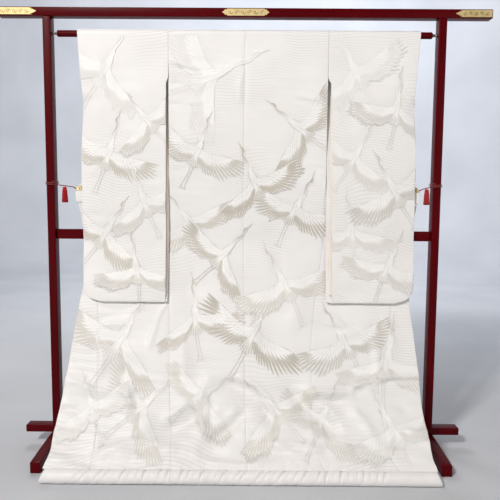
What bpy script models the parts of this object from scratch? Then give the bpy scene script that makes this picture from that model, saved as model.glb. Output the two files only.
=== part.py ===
"""Uchikake wedding kimono hung over the rod of a lacquered kimono stand.

Metres, +Z up. The garment's back faces -Y and +X is to the right of someone looking at it.
X is counted outward from the middle on both sides, so a side is -1 (left) or +1 (right).
"""
import bpy
import bmesh
import math

# Stand
POST_OUT = 0.783          # outer face of each post from the middle
POST_WIDE = 0.031
POST_DEEP = 0.049
RAIL_HALF = 0.958         # top rail, half its length
RAIL_LOW = 1.722
RAIL_HIGH = 1.756
RAIL_DEEP = 0.047
MID_LOW = 0.856           # tie rail through the posts
MID_HIGH = 0.895
MID_DEEP = 0.022
SILL_HALF = 0.893         # lower rail, laid over the feet
SILL_TALL = 0.029
SILL_DEEP = 0.050
FOOT_HALF = 0.283         # each foot runs this far to the front and to the back
FOOT_WIDE = 0.039
FOOT_TALL = 0.055
FOOT_TIP = 0.042
EDGE = 0.0025             # rounding of the lacquered edges
ROD_HALF = 0.732
ROD_R = 0.013
ROD_Z = 1.661
NECK_R = 0.0065
PLATE_THICK = 0.001
PLATE_LOW = 1.7265
PLATE_HIGH = 1.7525

# Cloth
WALL = 0.0016             # brocade
LINING_WALL = 0.0010
GAP = 0.0003
COLLAR_WALL = 0.0024      # four layers pressed flat
SEAM = 0.0002             # each piece stops this far short of its seam
LINING_OUT = -(WALL / 2 + GAP + LINING_WALL / 2)
ROD_LOOSE = 0.0005        # slack over the rod, so that the straight runs between rows clear it
ROD_WRAP = ROD_R + ROD_LOOSE + GAP + LINING_WALL + GAP + WALL / 2   # the brocade's radius over the rod
NECK_LEFT = -0.0933        # the neck opening, between the fronts
NECK_RIGHT = 0.1243
SHOULDER_Z = 1.645        # the part of each back panel over the rod is a solid of its own, down to here
HEM_SEAM_Z = 0.0545       # the cloth ends here, on the padded hem roll
ARMHOLE_Z = 1.46          # the sleeve is sewn to the body above this
CUFF_Z = 1.43             # the sleeve's outer edge is open above this
COLLAR_END_Z = 1.003
COLLAR_TURN_Z = 1.62      # the collar turns back here, just under the rod
KENSAKI_Z = 1.38          # top point of the overlap panel
PLEAT_END_Z = 1.0         # below this the front lies flat beside the back
LINING_TOP_Z = 1.57       # the fronts are lined below this
TURN = 0.0126             # cloth taken up by the turned edge of the front's diagonal fold

# The garment's side view, by height: where each layer lies (y, before the whole is shifted).
LAYERS = """
z      back     frontIn  sleeveFace sleeveRear
1.645  -0.0161   0.0161  -0.0161    0.0161
1.610  -0.0163   0.0155  -0.0163    0.0155
1.500  -0.0172   0.0100  -0.0172    0.0100
1.460  -0.0176   0.0080  -0.0178    0.0080
1.380  -0.0178   0.0030  -0.0205    0.0020
1.260  -0.0180  -0.0040  -0.0255   -0.0080
1.120  -0.0172  -0.0110  -0.0325   -0.0195
1.050  -0.0164  -0.0115  -0.0350   -0.0235
1.000  -0.0158  -0.0158  -0.0370   -0.0255
0.875  -0.0160  -0.0160  -0.0400   -0.0270
0.760  -0.0330  -0.0330  -0.0580   -0.0440
0.680  -0.0500  -0.0500  -0.0760   -0.0620
0.617  -0.0680  -0.0680  -0.0900   -0.0790
0.540  -0.0910  -0.0910  -0.1050   -0.1000
0.470  -0.1120  -0.1120  -0.1260   -0.1200
0.410  -0.1320  -0.1320  -0.1460   -0.1400
0.360  -0.1490  -0.1490  -0.1630   -0.1570
0.250  -0.1980  -0.1980  -0.2120   -0.2060
0.170  -0.2450  -0.2450  -0.2590   -0.2530
0.095  -0.3080  -0.3080  -0.3220   -0.3160
0.050  -0.3500  -0.3500  -0.3640   -0.3580
"""

# The seams' places by height: the centre-back seam (x), each side seam, okumi seam and free edge.
SEAMS = """
z      middle  sideL   sideR   okumiL  okumiR  edgeL   edgeR
1.680   0.002  0.297   0.328   0.540   0.560   0.668   0.700
1.060  -0.002  0.297   0.328   0.547   0.570   0.668   0.700
0.950  -0.001  0.297   0.326   0.560   0.582   0.650   0.682
0.850   0.000  0.297   0.318   0.568   0.590   0.637   0.668
0.690   0.001  0.296   0.298   0.574   0.594   0.636   0.660
0.617   0.003  0.293   0.286   0.575   0.590   0.646   0.660
0.500   0.006  0.288   0.273   0.569   0.574   0.662   0.671
0.430   0.008  0.286   0.268   0.565   0.545   0.670   0.677
0.330   0.010  0.280   0.267   0.559   0.526   0.680   0.684
0.250   0.012  0.275   0.268   0.553   0.529   0.690   0.686
0.145   0.017  0.263   0.272   0.543   0.541   0.702   0.698
0.095   0.020  0.257   0.282   0.545   0.546   0.704   0.700
0.055   0.023  0.252   0.300   0.546   0.572   0.716   0.712
"""

# The front above the clips: cloth measured along each row from its side edge. It runs inward as far as
# the fold, turns back by the angle, and runs outward: front panel, okumi, collar.
PLEAT = """
z      fold    inward  turned  front   okumi   collar
1.680  0.170   180     180     0.204   0.204   0.269
1.661  0.172   180     180     0.204   0.204   0.269
1.645  0.177   180     130     0.206   0.206   0.271
1.628  0.179   180      65     0.208   0.208   0.273
1.610  0.180   180      15     0.212   0.212   0.277
1.560  0.171   180       0     0.223   0.223   0.288
1.500  0.157   180       0     0.236   0.236   0.301
1.380  0.115   180       0     0.250   0.254   0.319
1.260  0.072   180       0     0.246   0.274   0.339
1.120  0.022   180       0     0.250   0.306   0.371
1.090  0.020   110    -3.8     0.253   0.312   0.377
1.050  0.020    45    -2.9     0.256   0.313   0.378
1.000  0.020     0       0     0.260   0.307   0.369
"""

SLEEVE_EDGES = """
z      innerL  innerR  outerL  outerR
1.680  0.2974  0.3284  0.652   0.686
1.500  0.2974  0.3284  0.641   0.674
1.460  0.2974  0.3284  0.637   0.671
1.430  0.309   0.341   0.634   0.669
1.380  0.309   0.342   0.632   0.669
1.200  0.310   0.346   0.640   0.677
0.875  0.310   0.351   0.635   0.676
0.690  0.308   0.352   0.630   0.672
0.650  0.307   0.352   0.623   0.665
0.630  0.307   0.352   0.605   0.645
0.617  0.307   0.352   0.565   0.604
"""

# The largest folds: x and z at both ends, half width across, and height toward the viewer.
FOLDS = """
x0      z0     x1      z1     wide   high
-0.690  0.320  -0.440  0.280  0.030   0.006
-0.640  0.262  -0.580  0.258  0.024  -0.004
 0.275  0.284   0.410  0.282  0.026   0.007
 0.275  0.262   0.400  0.255  0.026  -0.005
 0.440  0.305   0.500  0.318  0.024   0.005
 0.520  0.338   0.690  0.343  0.026   0.006
-0.130  0.310  -0.132  0.160  0.028   0.007
-0.310  0.145  -0.140  0.225  0.034  -0.007
-0.120  0.130   0.000  0.212  0.034  -0.006
-0.040  0.310   0.120  0.190  0.036  -0.008
 0.190  0.285   0.340  0.175  0.034  -0.007
 0.130  0.118   0.280  0.103  0.020   0.006
-0.140  0.090   0.150  0.092  0.018  -0.004
-0.510  0.092  -0.260  0.112  0.022   0.005
-0.690  0.110  -0.570  0.090  0.022  -0.005
 0.600  0.150   0.690  0.120  0.022   0.005
"""

ROWS = (1.645, 1.628, 1.61, 1.56, 1.5, 1.38, 1.26, 1.12, 1.09, 1.05, 1.0, 0.986, 0.875, 0.76, 0.68, 0.61,
        0.54, 0.47, 0.41, 0.36, 0.32, 0.285, 0.25, 0.21, 0.17, 0.13, 0.095, HEM_SEAM_Z)
SLEEVE_ROWS = (0.617, 0.63, 0.65, 0.69, 0.76, 0.875, 1.0, 1.12, 1.26, 1.38, CUFF_Z, ARMHOLE_Z, 1.5, 1.61,
               1.645)

# Padded hem roll
ROLL_Y = -0.3545
ROLL_HIGH = 0.0285        # half its height, before the floor flattens it
ROLL_DEEP = 0.0275        # half its depth
ROLL_SIDES = 8
GATHER_FROM = -0.590
GATHER_TO = 0.575
GATHER_STEP = 0.0315
GATHER_DEEP = 0.0030

# Tie cords, clips and tassels
CLIP_Z = 1.060
CLIP_WALL = 0.0012
# From the collar's middle to the middle of a jaw, with room for the collar's curve
CLIP_CLEAR = COLLAR_WALL / 2 + GAP + CLIP_WALL / 2 + 0.0006
CORD_R = 0.0020
CORD_STEPS = 16           # points in each turn round the post
CORD_RISE = 0.0062        # from one turn to the next
TASSEL_LONG = 0.052

# The origin lies under the middle of the whole object's box
SHIFT_Y = 0.04845


def table(text):
    """The columns of a table, by name."""
    lines = [line.split() for line in text.strip().splitlines()]
    return {name: [float(line[i]) for line in lines[1:]] for i, name in enumerate(lines[0])}


LAYER = table(LAYERS)
SEAM_AT = table(SEAMS)
PLEATED = table(PLEAT)
SLEEVE_AT = table(SLEEVE_EDGES)
FOLD = table(FOLDS)


def read(tab, column, z):
    """A column's value at a height, with straight lines between the rows."""
    heights, values = tab["z"], tab[column]
    if z >= heights[0]:
        return values[0]
    for i in range(len(heights) - 1):
        if z >= heights[i + 1]:
            share = (heights[i] - z) / (heights[i] - heights[i + 1])
            return values[i] + share * (values[i + 1] - values[i])
    return values[-1]


def side_letter(side):
    return "L" if side < 0 else "R"


def lerp(a, b, t):
    return a + (b - a) * t


def spread(a, b, count):
    """Evenly spaced values from a to b, with count steps."""
    return [lerp(a, b, i / count) for i in range(count + 1)]


def fold_height(x, z):
    """How far the largest folds lift the cloth toward the viewer."""
    total = 0.0
    for i, x0 in enumerate(FOLD["x0"]):
        z0, x1, z1 = FOLD["z0"][i], FOLD["x1"][i], FOLD["z1"][i]
        run = (x1 - x0) ** 2 + (z1 - z0) ** 2
        t = min(1.0, max(0.0, ((x - x0) * (x1 - x0) + (z - z0) * (z1 - z0)) / run))
        away = math.hypot(x - lerp(x0, x1, t), z - lerp(z0, z1, t)) / FOLD["wide"][i]
        total += FOLD["high"][i] * math.exp(-away * away)
    return total * min(1.0, max(0.0, (z - HEM_SEAM_Z) / 0.03))


def slope(column, z):
    """How fast a layer's y changes with height."""
    step = 0.012
    return (read(LAYER, column, z + step) - read(LAYER, column, z - step)) / (2 * step)


def sheet_spot(x, z, out=0.0):
    """A point of the flat sheet that the back and the spread fronts make."""
    rise = slope("back", z) if z < 0.96 else 0.0
    length = math.hypot(1.0, rise)
    high = out + fold_height(x, z)
    return (x, read(LAYER, "back", z) - high / length, z + high * rise / length)


def rod_spot(x, angle, out=0.0):
    """A point on the cloth over the rod; 0 faces the viewer, 90 is the top, 180 is behind."""
    turn = math.radians(angle)
    radius = ROD_WRAP + out
    return (x, -radius * math.cos(turn), ROD_Z + radius * math.sin(turn))


def front_spot(side, z, along, out=0.0):
    """A point of a front above the clips, by the cloth measured from its side edge."""
    first = math.radians(read(PLEATED, "inward", z))
    last = math.radians(read(PLEATED, "turned", z))
    fold = read(PLEATED, "fold", z)
    reach = min(along, fold)
    across, back = reach * math.cos(first), reach * math.sin(first)
    heading = first
    if along > fold:
        part = min(1.0, (along - fold) / TURN)
        heading = lerp(first, last, part)
        if first - last > 0.01:
            radius = TURN / (first - last)
            across += radius * (math.sin(first) - math.sin(heading))
            back += radius * (math.cos(heading) - math.cos(first))
        else:
            across += part * TURN * math.cos(first)
            back += part * TURN * math.sin(first)
    rest = max(0.0, along - fold - TURN)
    across += rest * math.cos(heading) + out * math.sin(heading)
    back += rest * math.sin(heading) - out * math.cos(heading)
    clear = SEAM + 0.0012 * math.sin(first)
    edge = read(SEAM_AT, "side" + side_letter(side), z)
    return (side * (edge + clear + across), read(LAYER, "frontIn", z) + back, z)


def sheet_panel(name, rows, wall, material, skip=None):
    """A closed wall through a grid of points; skip(row, column) leaves a face out."""
    mesh = bpy.data.meshes.new(name)
    wide = len(rows[0])
    points = [p for row in rows for p in row]
    faces = []
    for i in range(len(rows) - 1):
        for j in range(wide - 1):
            a = i * wide + j
            if not (skip and skip(i, j)):
                faces.append((a, a + 1, a + 1 + wide, a + wide))
    mesh.from_pydata(points, [], faces)
    obj = add_object(name, mesh, material)
    thick = obj.modifiers.new("Wall", "SOLIDIFY")
    thick.thickness = wall
    thick.offset = 0.0
    thick.use_even_offset = False
    mesh.shade_smooth()
    return obj


def make_material(name, colour, rough, metal=0.0):
    material = bpy.data.materials.new(name)
    material.use_nodes = True
    surface = material.node_tree.nodes["Principled BSDF"]
    surface.inputs["Base Color"].default_value = (*colour, 1.0)
    surface.inputs["Roughness"].default_value = rough
    surface.inputs["Metallic"].default_value = metal
    return material


def add_object(name, data, material):
    obj = bpy.data.objects.new(name, data)
    obj.data.materials.append(make_material(name + "_finish", *material))
    COLLECTION.objects.link(obj)
    obj.parent = FRAME
    return obj


BROCADE = ((0.90, 0.89, 0.86), 0.5)
LINING = ((0.86, 0.76, 0.66), 0.5)
LACQUER = ((0.09, 0.004, 0.008), 0.2)
BRASS = ((0.72, 0.52, 0.25), 0.35, 1.0)
STEEL = ((0.55, 0.52, 0.5), 0.3, 1.0)
SILK_RED = ((0.35, 0.02, 0.03), 0.6)
PALE_GOLD = ((0.80, 0.70, 0.50), 0.4, 0.3)


def back_rows(side, out=0.0, both=False, shoulder=True, below=True):
    """Rows of points across one back panel, or across both: its shoulder over the rod, the rest, or all."""
    def across(z, side_now):
        middle = read(SEAM_AT, "middle", z)
        edge = side_now * (read(SEAM_AT, "side" + side_letter(side_now), z) - SEAM)
        return sorted(spread(middle + side_now * SEAM, edge, 8))

    def xs(z):
        if both:
            return across(z, -1) + across(z, 1)[1:]
        return across(z, side)

    rows = []
    if shoulder:
        rows = [[rod_spot(x, angle, out) for x in xs(ROD_Z)] for angle in (88, 60, 30, 0)]
    if below:
        heights = ROWS if shoulder else (SHOULDER_Z - GAP / 2,) + ROWS[1:]
    else:
        heights = (SHOULDER_Z + GAP / 2,)
    return rows + [[sheet_spot(x, z, out) for x in xs(z)] for z in heights]


def front_columns(z, side):
    """Places across a front, as cloth measured from its side seam."""
    fold = read(PLEATED, "fold", z)
    if z >= PLEAT_END_Z:
        width = read(PLEATED, "front", z)
    else:
        letter = side_letter(side)
        width = read(SEAM_AT, "okumi" + letter, z) - read(SEAM_AT, "side" + letter, z)
    flat, bend = spread(0.0, fold, 2)[:-1], spread(fold, fold + TURN, 3)[:-1]
    return flat + bend + spread(fold + TURN, width - 2 * SEAM, 5)


def okumi_columns(z, side):
    """Places across an overlap panel, as cloth measured from the side seam."""
    if z >= PLEAT_END_Z:
        start, end = read(PLEATED, "front", z), read(PLEATED, "okumi", z)
    else:
        letter = side_letter(side)
        edge = read(SEAM_AT, "side" + letter, z)
        start = read(SEAM_AT, "okumi" + letter, z) - edge
        end = read(SEAM_AT, "edge" + letter, z) - edge
    return spread(start, end - SEAM, 3)


def spread_spot(side, z, along, out=0.0):
    """A point of a front, its okumi or its collar at any height below the rod."""
    if z >= PLEAT_END_Z:
        return front_spot(side, z, along, out)
    edge = read(SEAM_AT, "side" + side_letter(side), z) + SEAM
    return sheet_spot(side * (edge + along), z, out)


def front_rows(side, out=0.0, with_okumi=False):
    """Rows of points across a front panel; its lining runs on over the okumi."""
    rows = []
    for angle in (92, 120, 150, 180):
        edge = read(SEAM_AT, "side" + side_letter(side), ROD_Z) + SEAM
        places = front_columns(ROD_Z, side)
        if with_okumi:
            places += spread(places[-1], places[-1] + 0.002, 3)[1:]
        rows.append([rod_spot(side * (edge - u), angle, out) for u in places])
    for z in ROWS:
        places = front_columns(z, side)
        if with_okumi:
            end = okumi_columns(z, side)[-1] - 0.0012 if z < KENSAKI_Z else places[-1] + 0.002
            places += spread(places[-1], max(end, places[-1] + 0.002), 3)[1:]
        rows.append([spread_spot(side, z, u, out) for u in places])
    return rows


def make_backs():
    for side, word in ((-1, "left"), (1, "right")):
        sheet_panel("shoulder_" + word, back_rows(side, below=False), WALL, BROCADE)
        sheet_panel("back_" + word, back_rows(side, shoulder=False), WALL, BROCADE)
    sheet_panel("lining_back", back_rows(1, LINING_OUT, True), LINING_WALL, LINING)


def make_fronts():
    for side, word in ((-1, "left"), (1, "right")):
        sheet_panel("front_" + word, front_rows(side), WALL, BROCADE)
        rows = [[spread_spot(side, z, u) for u in okumi_columns(z, side)] for z in ROWS if z < KENSAKI_Z]
        sheet_panel("okumi_" + word, rows, WALL, BROCADE)
        lining = front_rows(side, LINING_OUT, True)
        sheet_panel("lining_front_" + word, lining, LINING_WALL, LINING, lining_hidden)


def lining_hidden(row, column):
    """The front's lining isn't seen near the rod, nor in the part folded in against the side seam."""
    over_rod = row < 4
    z = ROD_Z if over_rod else ROWS[row - 4]
    return over_rod or z > LINING_TOP_Z or (z > PLEAT_END_Z + 0.03 and column < 5)


def make_collar():
    for side, word in ((-1, "left"), (1, "right")):
        rows = []
        for z in [z for z in ROWS if COLLAR_END_Z < z < COLLAR_TURN_Z] + [COLLAR_END_Z]:
            low = max(read(PLEATED, "okumi", z), read(PLEATED, "front", z)) + SEAM + 0.0025 * (z >= KENSAKI_Z)
            high = read(PLEATED, "collar", z)
            rows.append([spread_spot(side, z, u) for u in spread(low, high, 2)])
        sheet_panel("collar_" + word, rows, COLLAR_WALL, BROCADE)
    rows = []
    for angle, out in ((89.5, 0.0), (120, 0.0008), (150, 0.0016), (180, 0.0023)):
        rows.append([rod_spot(x, angle, out) for x in spread(NECK_LEFT, NECK_RIGHT, 4)])
    for z, wider in ((1.645, 0.0), (1.62, 0.011), (1.598, 0.017)):
        back = read(LAYER, "frontIn", z) + (WALL + COLLAR_WALL) / 2 + GAP
        rows.append([(x, back, z) for x in spread(NECK_LEFT - wider, NECK_RIGHT + wider, 4)])
    sheet_panel("collar_neck", rows, COLLAR_WALL, BROCADE)


def sleeve_spot(side, column, z, share, out=0.0):
    """A point of a sleeve's face or rear layer; share runs from its inner edge to its outer one."""
    letter = side_letter(side)
    inner = read(SLEEVE_AT, "inner" + letter, z)
    if column == "sleeveRear" and z < ARMHOLE_Z:
        inner = read(SEAM_AT, "side" + letter, 1.2) + 0.001
    outer = read(SLEEVE_AT, "outer" + letter, z)
    face, rear = read(LAYER, "sleeveFace", z), read(LAYER, "sleeveRear", z)
    middle, half = (face + rear) / 2, (rear - face) / 2
    closed = (WALL + GAP) / 2 + 0.0002
    if z < CUFF_Z - 0.01:
        near = max(0.0, (share - 0.82) / 0.18)
        half = lerp(half, closed, near * near)
    if z < 0.66:
        near = (0.66 - z) / (0.66 - SLEEVE_ROWS[0])
        half = lerp(half, closed, min(1.0, near) ** 2)
    sign = -1 if column == "sleeveFace" else 1
    return (side * lerp(inner, outer, share), middle + sign * half + out, z)


def make_sleeves():
    shares = (0.0, 0.16, 0.38, 0.6, 0.82, 0.94, 1.0)
    for side, word in ((-1, "left"), (1, "right")):
        rows = [[sleeve_spot(side, "sleeveFace", z, t) for t in shares] for z in SLEEVE_ROWS]
        inner = read(SLEEVE_AT, "inner" + side_letter(side), ROD_Z)
        outer = read(SLEEVE_AT, "outer" + side_letter(side), ROD_Z)
        for angle in (0, 30, 60, 90, 120, 150, 180):
            rows.append([rod_spot(side * lerp(inner, outer, t), angle) for t in shares])
        rear = list(reversed(SLEEVE_ROWS))
        rows += [[sleeve_spot(side, "sleeveRear", z, t) for t in shares] for z in rear]
        sheet_panel("sleeve_" + word, rows, WALL, BROCADE)
        facing = [[sleeve_spot(side, "sleeveRear", z, t, LINING_OUT) for t in shares[:2]]
                  for z in rear if 0.68 < z <= CUFF_Z]
        sheet_panel("sleeve_lining_" + word, facing, LINING_WALL, LINING)


def gather_places():
    """Where the roll's gathers lie: uneven steps, from the left end to the right one."""
    places, x, count = [], GATHER_FROM, 0
    while x < GATHER_TO:
        places.append(x)
        x += GATHER_STEP * (1.0 + 0.16 * math.sin(1.9 * count) + 0.08 * math.sin(5.3 * count))
        count += 1
    return places


def roll_columns(start, end):
    """Places along the roll, with its height there: one at each gather's ridge and one in its dip."""
    places = gather_places()
    columns = [(x, 1.0) for x in places] + [((a + b) / 2, 0.0) for a, b in zip(places, places[1:])]
    ends = [(GATHER_FROM - 0.03, 0.5), (GATHER_TO + 0.035, 0.5)]
    inside = [c for c in columns + ends if start + 0.008 < c[0] < end - 0.008]
    return [(start, 0.4)] + sorted(inside) + [(end, 0.4)]


def roll_ring(x, ridge, size=1.0):
    """One ring of the roll; it's flat where it lies on the floor."""
    ring = []
    for k in range(ROLL_SIDES):
        turn = 2 * math.pi * (k + 0.5) / ROLL_SIDES
        up = math.sin(turn)
        swell = 1.0 - (1.0 - ridge) * GATHER_DEEP / ROLL_HIGH * (1.0 if up > -0.5 else 0.0)
        reach = math.sin(math.pi / 2 - math.pi / ROLL_SIDES)
        y = ROLL_Y + ROLL_DEEP * size * swell * math.cos(turn)
        z = ROLL_HIGH * (reach * size + size * swell * up) if up > -0.9 else 0.0
        ring.append((x + 0.003 * ridge * up, y, z))
    return ring


def make_roll():
    left, right = -0.728, 0.729
    side_left = -read(SEAM_AT, "sideL", HEM_SEAM_Z)
    side_right = read(SEAM_AT, "sideR", HEM_SEAM_Z)
    spans = (("hem_roll_left", left, side_left - SEAM),
             ("hem_roll_back", side_left + SEAM, side_right - SEAM),
             ("hem_roll_right", side_right + SEAM, right))
    for name, start, end in spans:
        rings = []
        for x, ridge in roll_columns(start, end):
            tip = x in (left, right)
            if tip:
                rings.append(roll_ring(x, ridge, 0.62))
            elif x in (start, end):
                rings.append([(x, y, z) for _, y, z in roll_ring(x, ridge)])
            else:
                rings.append(roll_ring(x, ridge))
            if x == left:
                rings.append(roll_ring(x + 0.012, ridge, 0.93))
            if tip and x == right:
                rings.insert(-1, roll_ring(x - 0.012, ridge, 0.93))
        mesh = bpy.data.meshes.new(name)
        faces = []
        for i in range(len(rings) - 1):
            for k in range(ROLL_SIDES):
                a, b = i * ROLL_SIDES + k, i * ROLL_SIDES + (k + 1) % ROLL_SIDES
                faces.append((a, b, b + ROLL_SIDES, a + ROLL_SIDES))
        last = (len(rings) - 1) * ROLL_SIDES
        faces.append(tuple(reversed(range(ROLL_SIDES))))
        faces.append(tuple(range(last, last + ROLL_SIDES)))
        mesh.from_pydata([p for ring in rings for p in ring], [], faces)
        tidy = bmesh.new()
        tidy.from_mesh(mesh)
        bmesh.ops.recalc_face_normals(tidy, faces=tidy.faces)
        tidy.to_mesh(mesh)
        tidy.free()
        add_object(name, mesh, BROCADE)


def box(name, low, high, material, edge=0.0):
    """A box between two corners, with rounded edges where edge is given."""
    mesh = bpy.data.meshes.new(name)
    shape = bmesh.new()
    bmesh.ops.create_cube(shape, size=1.0)
    for vert in shape.verts:
        vert.co = [lerp(low[i], high[i], vert.co[i] + 0.5) for i in range(3)]
    shape.to_mesh(mesh)
    shape.free()
    obj = add_object(name, mesh, material)
    if edge:
        bevel = obj.modifiers.new("Edges", "BEVEL")
        bevel.width = edge
        bevel.segments = 1
        bevel.limit_method = "ANGLE"
    return obj


def plate(name, outline, thick, y, material):
    """A flat piece from an outline in x and z, with its middle at y."""
    curve = bpy.data.curves.new(name, "CURVE")
    curve.dimensions = "2D"
    curve.fill_mode = "BOTH"
    curve.extrude = thick / 2
    spline = curve.splines.new("POLY")
    spline.points.add(len(outline) - 1)
    for point, (x, z) in zip(spline.points, outline):
        point.co = (x, z, 0.0, 1.0)
    spline.use_cyclic_u = True
    obj = add_object(name, curve, material)
    obj.rotation_euler = (math.pi / 2, 0.0, 0.0)
    obj.location = (0.0, y, 0.0)
    return obj


def make_stand():
    sill_low = FOOT_TALL + GAP
    post_low = sill_low + SILL_TALL + GAP
    box("top_rail", (-RAIL_HALF, -RAIL_DEEP / 2, RAIL_LOW), (RAIL_HALF, RAIL_DEEP / 2, RAIL_HIGH),
        LACQUER, EDGE)
    inner = POST_OUT - POST_WIDE - GAP
    box("middle_rail", (-inner, -MID_DEEP / 2, MID_LOW), (inner, MID_DEEP / 2, MID_HIGH), LACQUER, EDGE / 2)
    box("lower_rail", (-SILL_HALF, -SILL_DEEP / 2, sill_low),
        (SILL_HALF, SILL_DEEP / 2, sill_low + SILL_TALL), LACQUER, EDGE)
    for side, word in ((-1, "left"), (1, "right")):
        xs = sorted((side * (POST_OUT - POST_WIDE), side * POST_OUT))
        box("post_" + word, (xs[0], -POST_DEEP / 2, post_low),
            (xs[1], POST_DEEP / 2, RAIL_LOW - GAP), LACQUER, EDGE)
        make_foot("foot_" + word, side * (POST_OUT - POST_WIDE / 2))
        neck = ROD_HALF + GAP
        cylinder("rod_neck_" + word, side * (neck + inner) / 2, inner - neck, NECK_R, 16, STEEL)
    cylinder("hanging_rod", 0.0, 2 * ROD_HALF, ROD_R, 24, LACQUER)


def make_foot(name, x):
    """A board on edge that runs to the front and to the back, lower toward its ends."""
    top = [(t * FOOT_HALF, lerp(FOOT_TALL, FOOT_TIP, max(0.0, (abs(t) - 0.1) / 0.9) ** 1.4))
           for t in (-1.0, -0.75, -0.5, -0.3, -0.1, 0.1, 0.3, 0.5, 0.75, 1.0)]
    outline = [(-FOOT_HALF, 0.0)] + top + [(FOOT_HALF, 0.0)]
    mesh = bpy.data.meshes.new(name)
    shape = bmesh.new()
    verts = [shape.verts.new((x - FOOT_WIDE / 2, y, z)) for y, z in outline]
    face = shape.faces.new(verts)
    moved = bmesh.ops.extrude_face_region(shape, geom=[face])
    for item in moved["geom"]:
        if isinstance(item, bmesh.types.BMVert):
            item.co.x += FOOT_WIDE
    bmesh.ops.recalc_face_normals(shape, faces=shape.faces)
    shape.to_mesh(mesh)
    shape.free()
    return add_object(name, mesh, LACQUER)


def cylinder(name, x, length, radius, sides, material):
    """A bar along X at the rod's height."""
    mesh = bpy.data.meshes.new(name)
    shape = bmesh.new()
    bmesh.ops.create_cone(shape, cap_ends=True, segments=sides, radius1=radius, radius2=radius, depth=length)
    shape.to_mesh(mesh)
    shape.free()
    obj = add_object(name, mesh, material)
    obj.rotation_euler = (0.0, math.pi / 2, 0.0)
    obj.location = (x, 0.0, ROD_Z)
    return obj


def make_brasses():
    """Three thin plates on the top rail's face: a trefoil-ended one and two with fish-tail inner ends."""
    y = -RAIL_DEEP / 2 - GAP - PLATE_THICK / 2
    half_high = (PLATE_HIGH - PLATE_LOW) / 2
    centre_z = (PLATE_HIGH + PLATE_LOW) / 2
    half = 0.0915
    lobe = [(0.0, 1.0), (0.10, 0.62), (0.16, 0.80), (0.24, 0.74), (0.27, 0.48), (0.33, 0.36), (0.50, 0.0)]
    right = [(half - 0.020 + a * 0.04, centre_z + b * half_high) for a, b in lobe]
    right += [(x, 2 * centre_z - z) for x, z in reversed(right[:-1])]
    left = [(-x, z) for x, z in reversed(right)]
    middle = 0.0045
    plate("brass_centre", [(x + middle, z) for x, z in right + left], PLATE_THICK, y, BRASS)
    tail = [(0.0, 1.0), (-0.010, 0.86), (0.004, 0.45), (0.016, 0.0), (0.004, -0.45), (-0.010, -0.86),
            (0.0, -1.0)]
    for side, word, inner in ((-1, "left", 0.8205), (1, "right", 0.8300)):
        ends = [(RAIL_HALF - EDGE - 0.001, 1.0)] + [(inner - a, b) for a, b in tail] \
            + [(RAIL_HALF - EDGE - 0.001, -1.0)]
        outline = [(side * x, centre_z + b * half_high) for x, b in ends]
        plate("brass_" + word, outline, PLATE_THICK, y, BRASS)


def make_ties():
    """On each side a clip on the collar's lower end, a cord from it round the post, and a tassel."""
    for side, word in ((-1, "left"), (1, "right")):
        edge_x, edge_y, _ = collar_edge_spot(side, CLIP_Z, 0.0, 0.0)
        make_clip("clip_" + word, side)
        make_cord("tie_cord_" + word, side, abs(edge_x) + CLIP_CLEAR + CLIP_WALL, edge_y)


def collar_edge_spot(side, z, inside, out):
    """A point near the collar's free edge, on the straight run between the collar's own rows."""
    above = min(row for row in ROWS if row >= z)
    below = max(row for row in ROWS if row < z)
    ends = [spread_spot(side, row, read(PLEATED, "collar", row) - inside, out) for row in (below, above)]
    share = (z - below) / (above - below)
    return tuple(lerp(a, b, share) for a, b in zip(*ends))


def make_clip(name, side):
    """A folded clip that straddles the collar's edge, with jaws that are longer at its foot."""
    rows = []
    for z, jaw in ((CLIP_Z + 0.010, 0.010), (CLIP_Z, 0.017), (CLIP_Z - 0.009, 0.024)):
        row = [collar_edge_spot(side, z, jaw * t, CLIP_CLEAR) for t in (1.0, 0.5, 0.0)]
        for angle in (60, 0, -60):
            turn = math.radians(angle)
            row.append(collar_edge_spot(side, z, -CLIP_CLEAR * math.cos(turn), CLIP_CLEAR * math.sin(turn)))
        row += [collar_edge_spot(side, z, jaw * t, -CLIP_CLEAR) for t in (0.0, 0.5, 1.0)]
        rows.append(row)
    sheet_panel(name, rows, CLIP_WALL, PALE_GOLD)


def make_cord(name, side, apex, start_y):
    """A thin cord from the clip to the post and twice round it, and the tassel under it."""
    half_x, half_y = POST_WIDE / 2 + 0.0050, POST_DEEP / 2 + 0.0055
    middle = POST_OUT - POST_WIDE / 2
    start = (apex + GAP, start_y, CLIP_Z)
    route = [start, (apex + 0.012, start_y - 0.006, CLIP_Z + 0.004)]
    for step in range(CORD_STEPS * 2 + 3):
        turn = math.radians(-157.5) + 2 * math.pi * step / CORD_STEPS
        near, side_way = math.cos(turn), math.sin(turn)
        size = (near ** 4 + side_way ** 4) ** -0.25
        route.append((middle + half_x * size * near, half_y * size * side_way,
                      CLIP_Z + 0.013 + CORD_RISE * step / CORD_STEPS))
    curve = bpy.data.curves.new(name, "CURVE")
    curve.dimensions = "3D"
    curve.bevel_depth = CORD_R
    curve.bevel_resolution = 1
    curve.use_fill_caps = True
    spline = curve.splines.new("POLY")
    spline.points.add(len(route) - 1)
    for point, (x, y, z) in zip(spline.points, route):
        point.co = (side * x, y, z, 1.0)
    add_object(name, curve, SILK_RED)
    word = name.rsplit("_", 1)[1]
    hang = [lerp(a, b, 0.5) for a, b in zip(route[1], route[2])]
    make_tassel("tassel_" + word, side * hang[0], hang[1], hang[2] - CORD_R - 0.0010)


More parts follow.
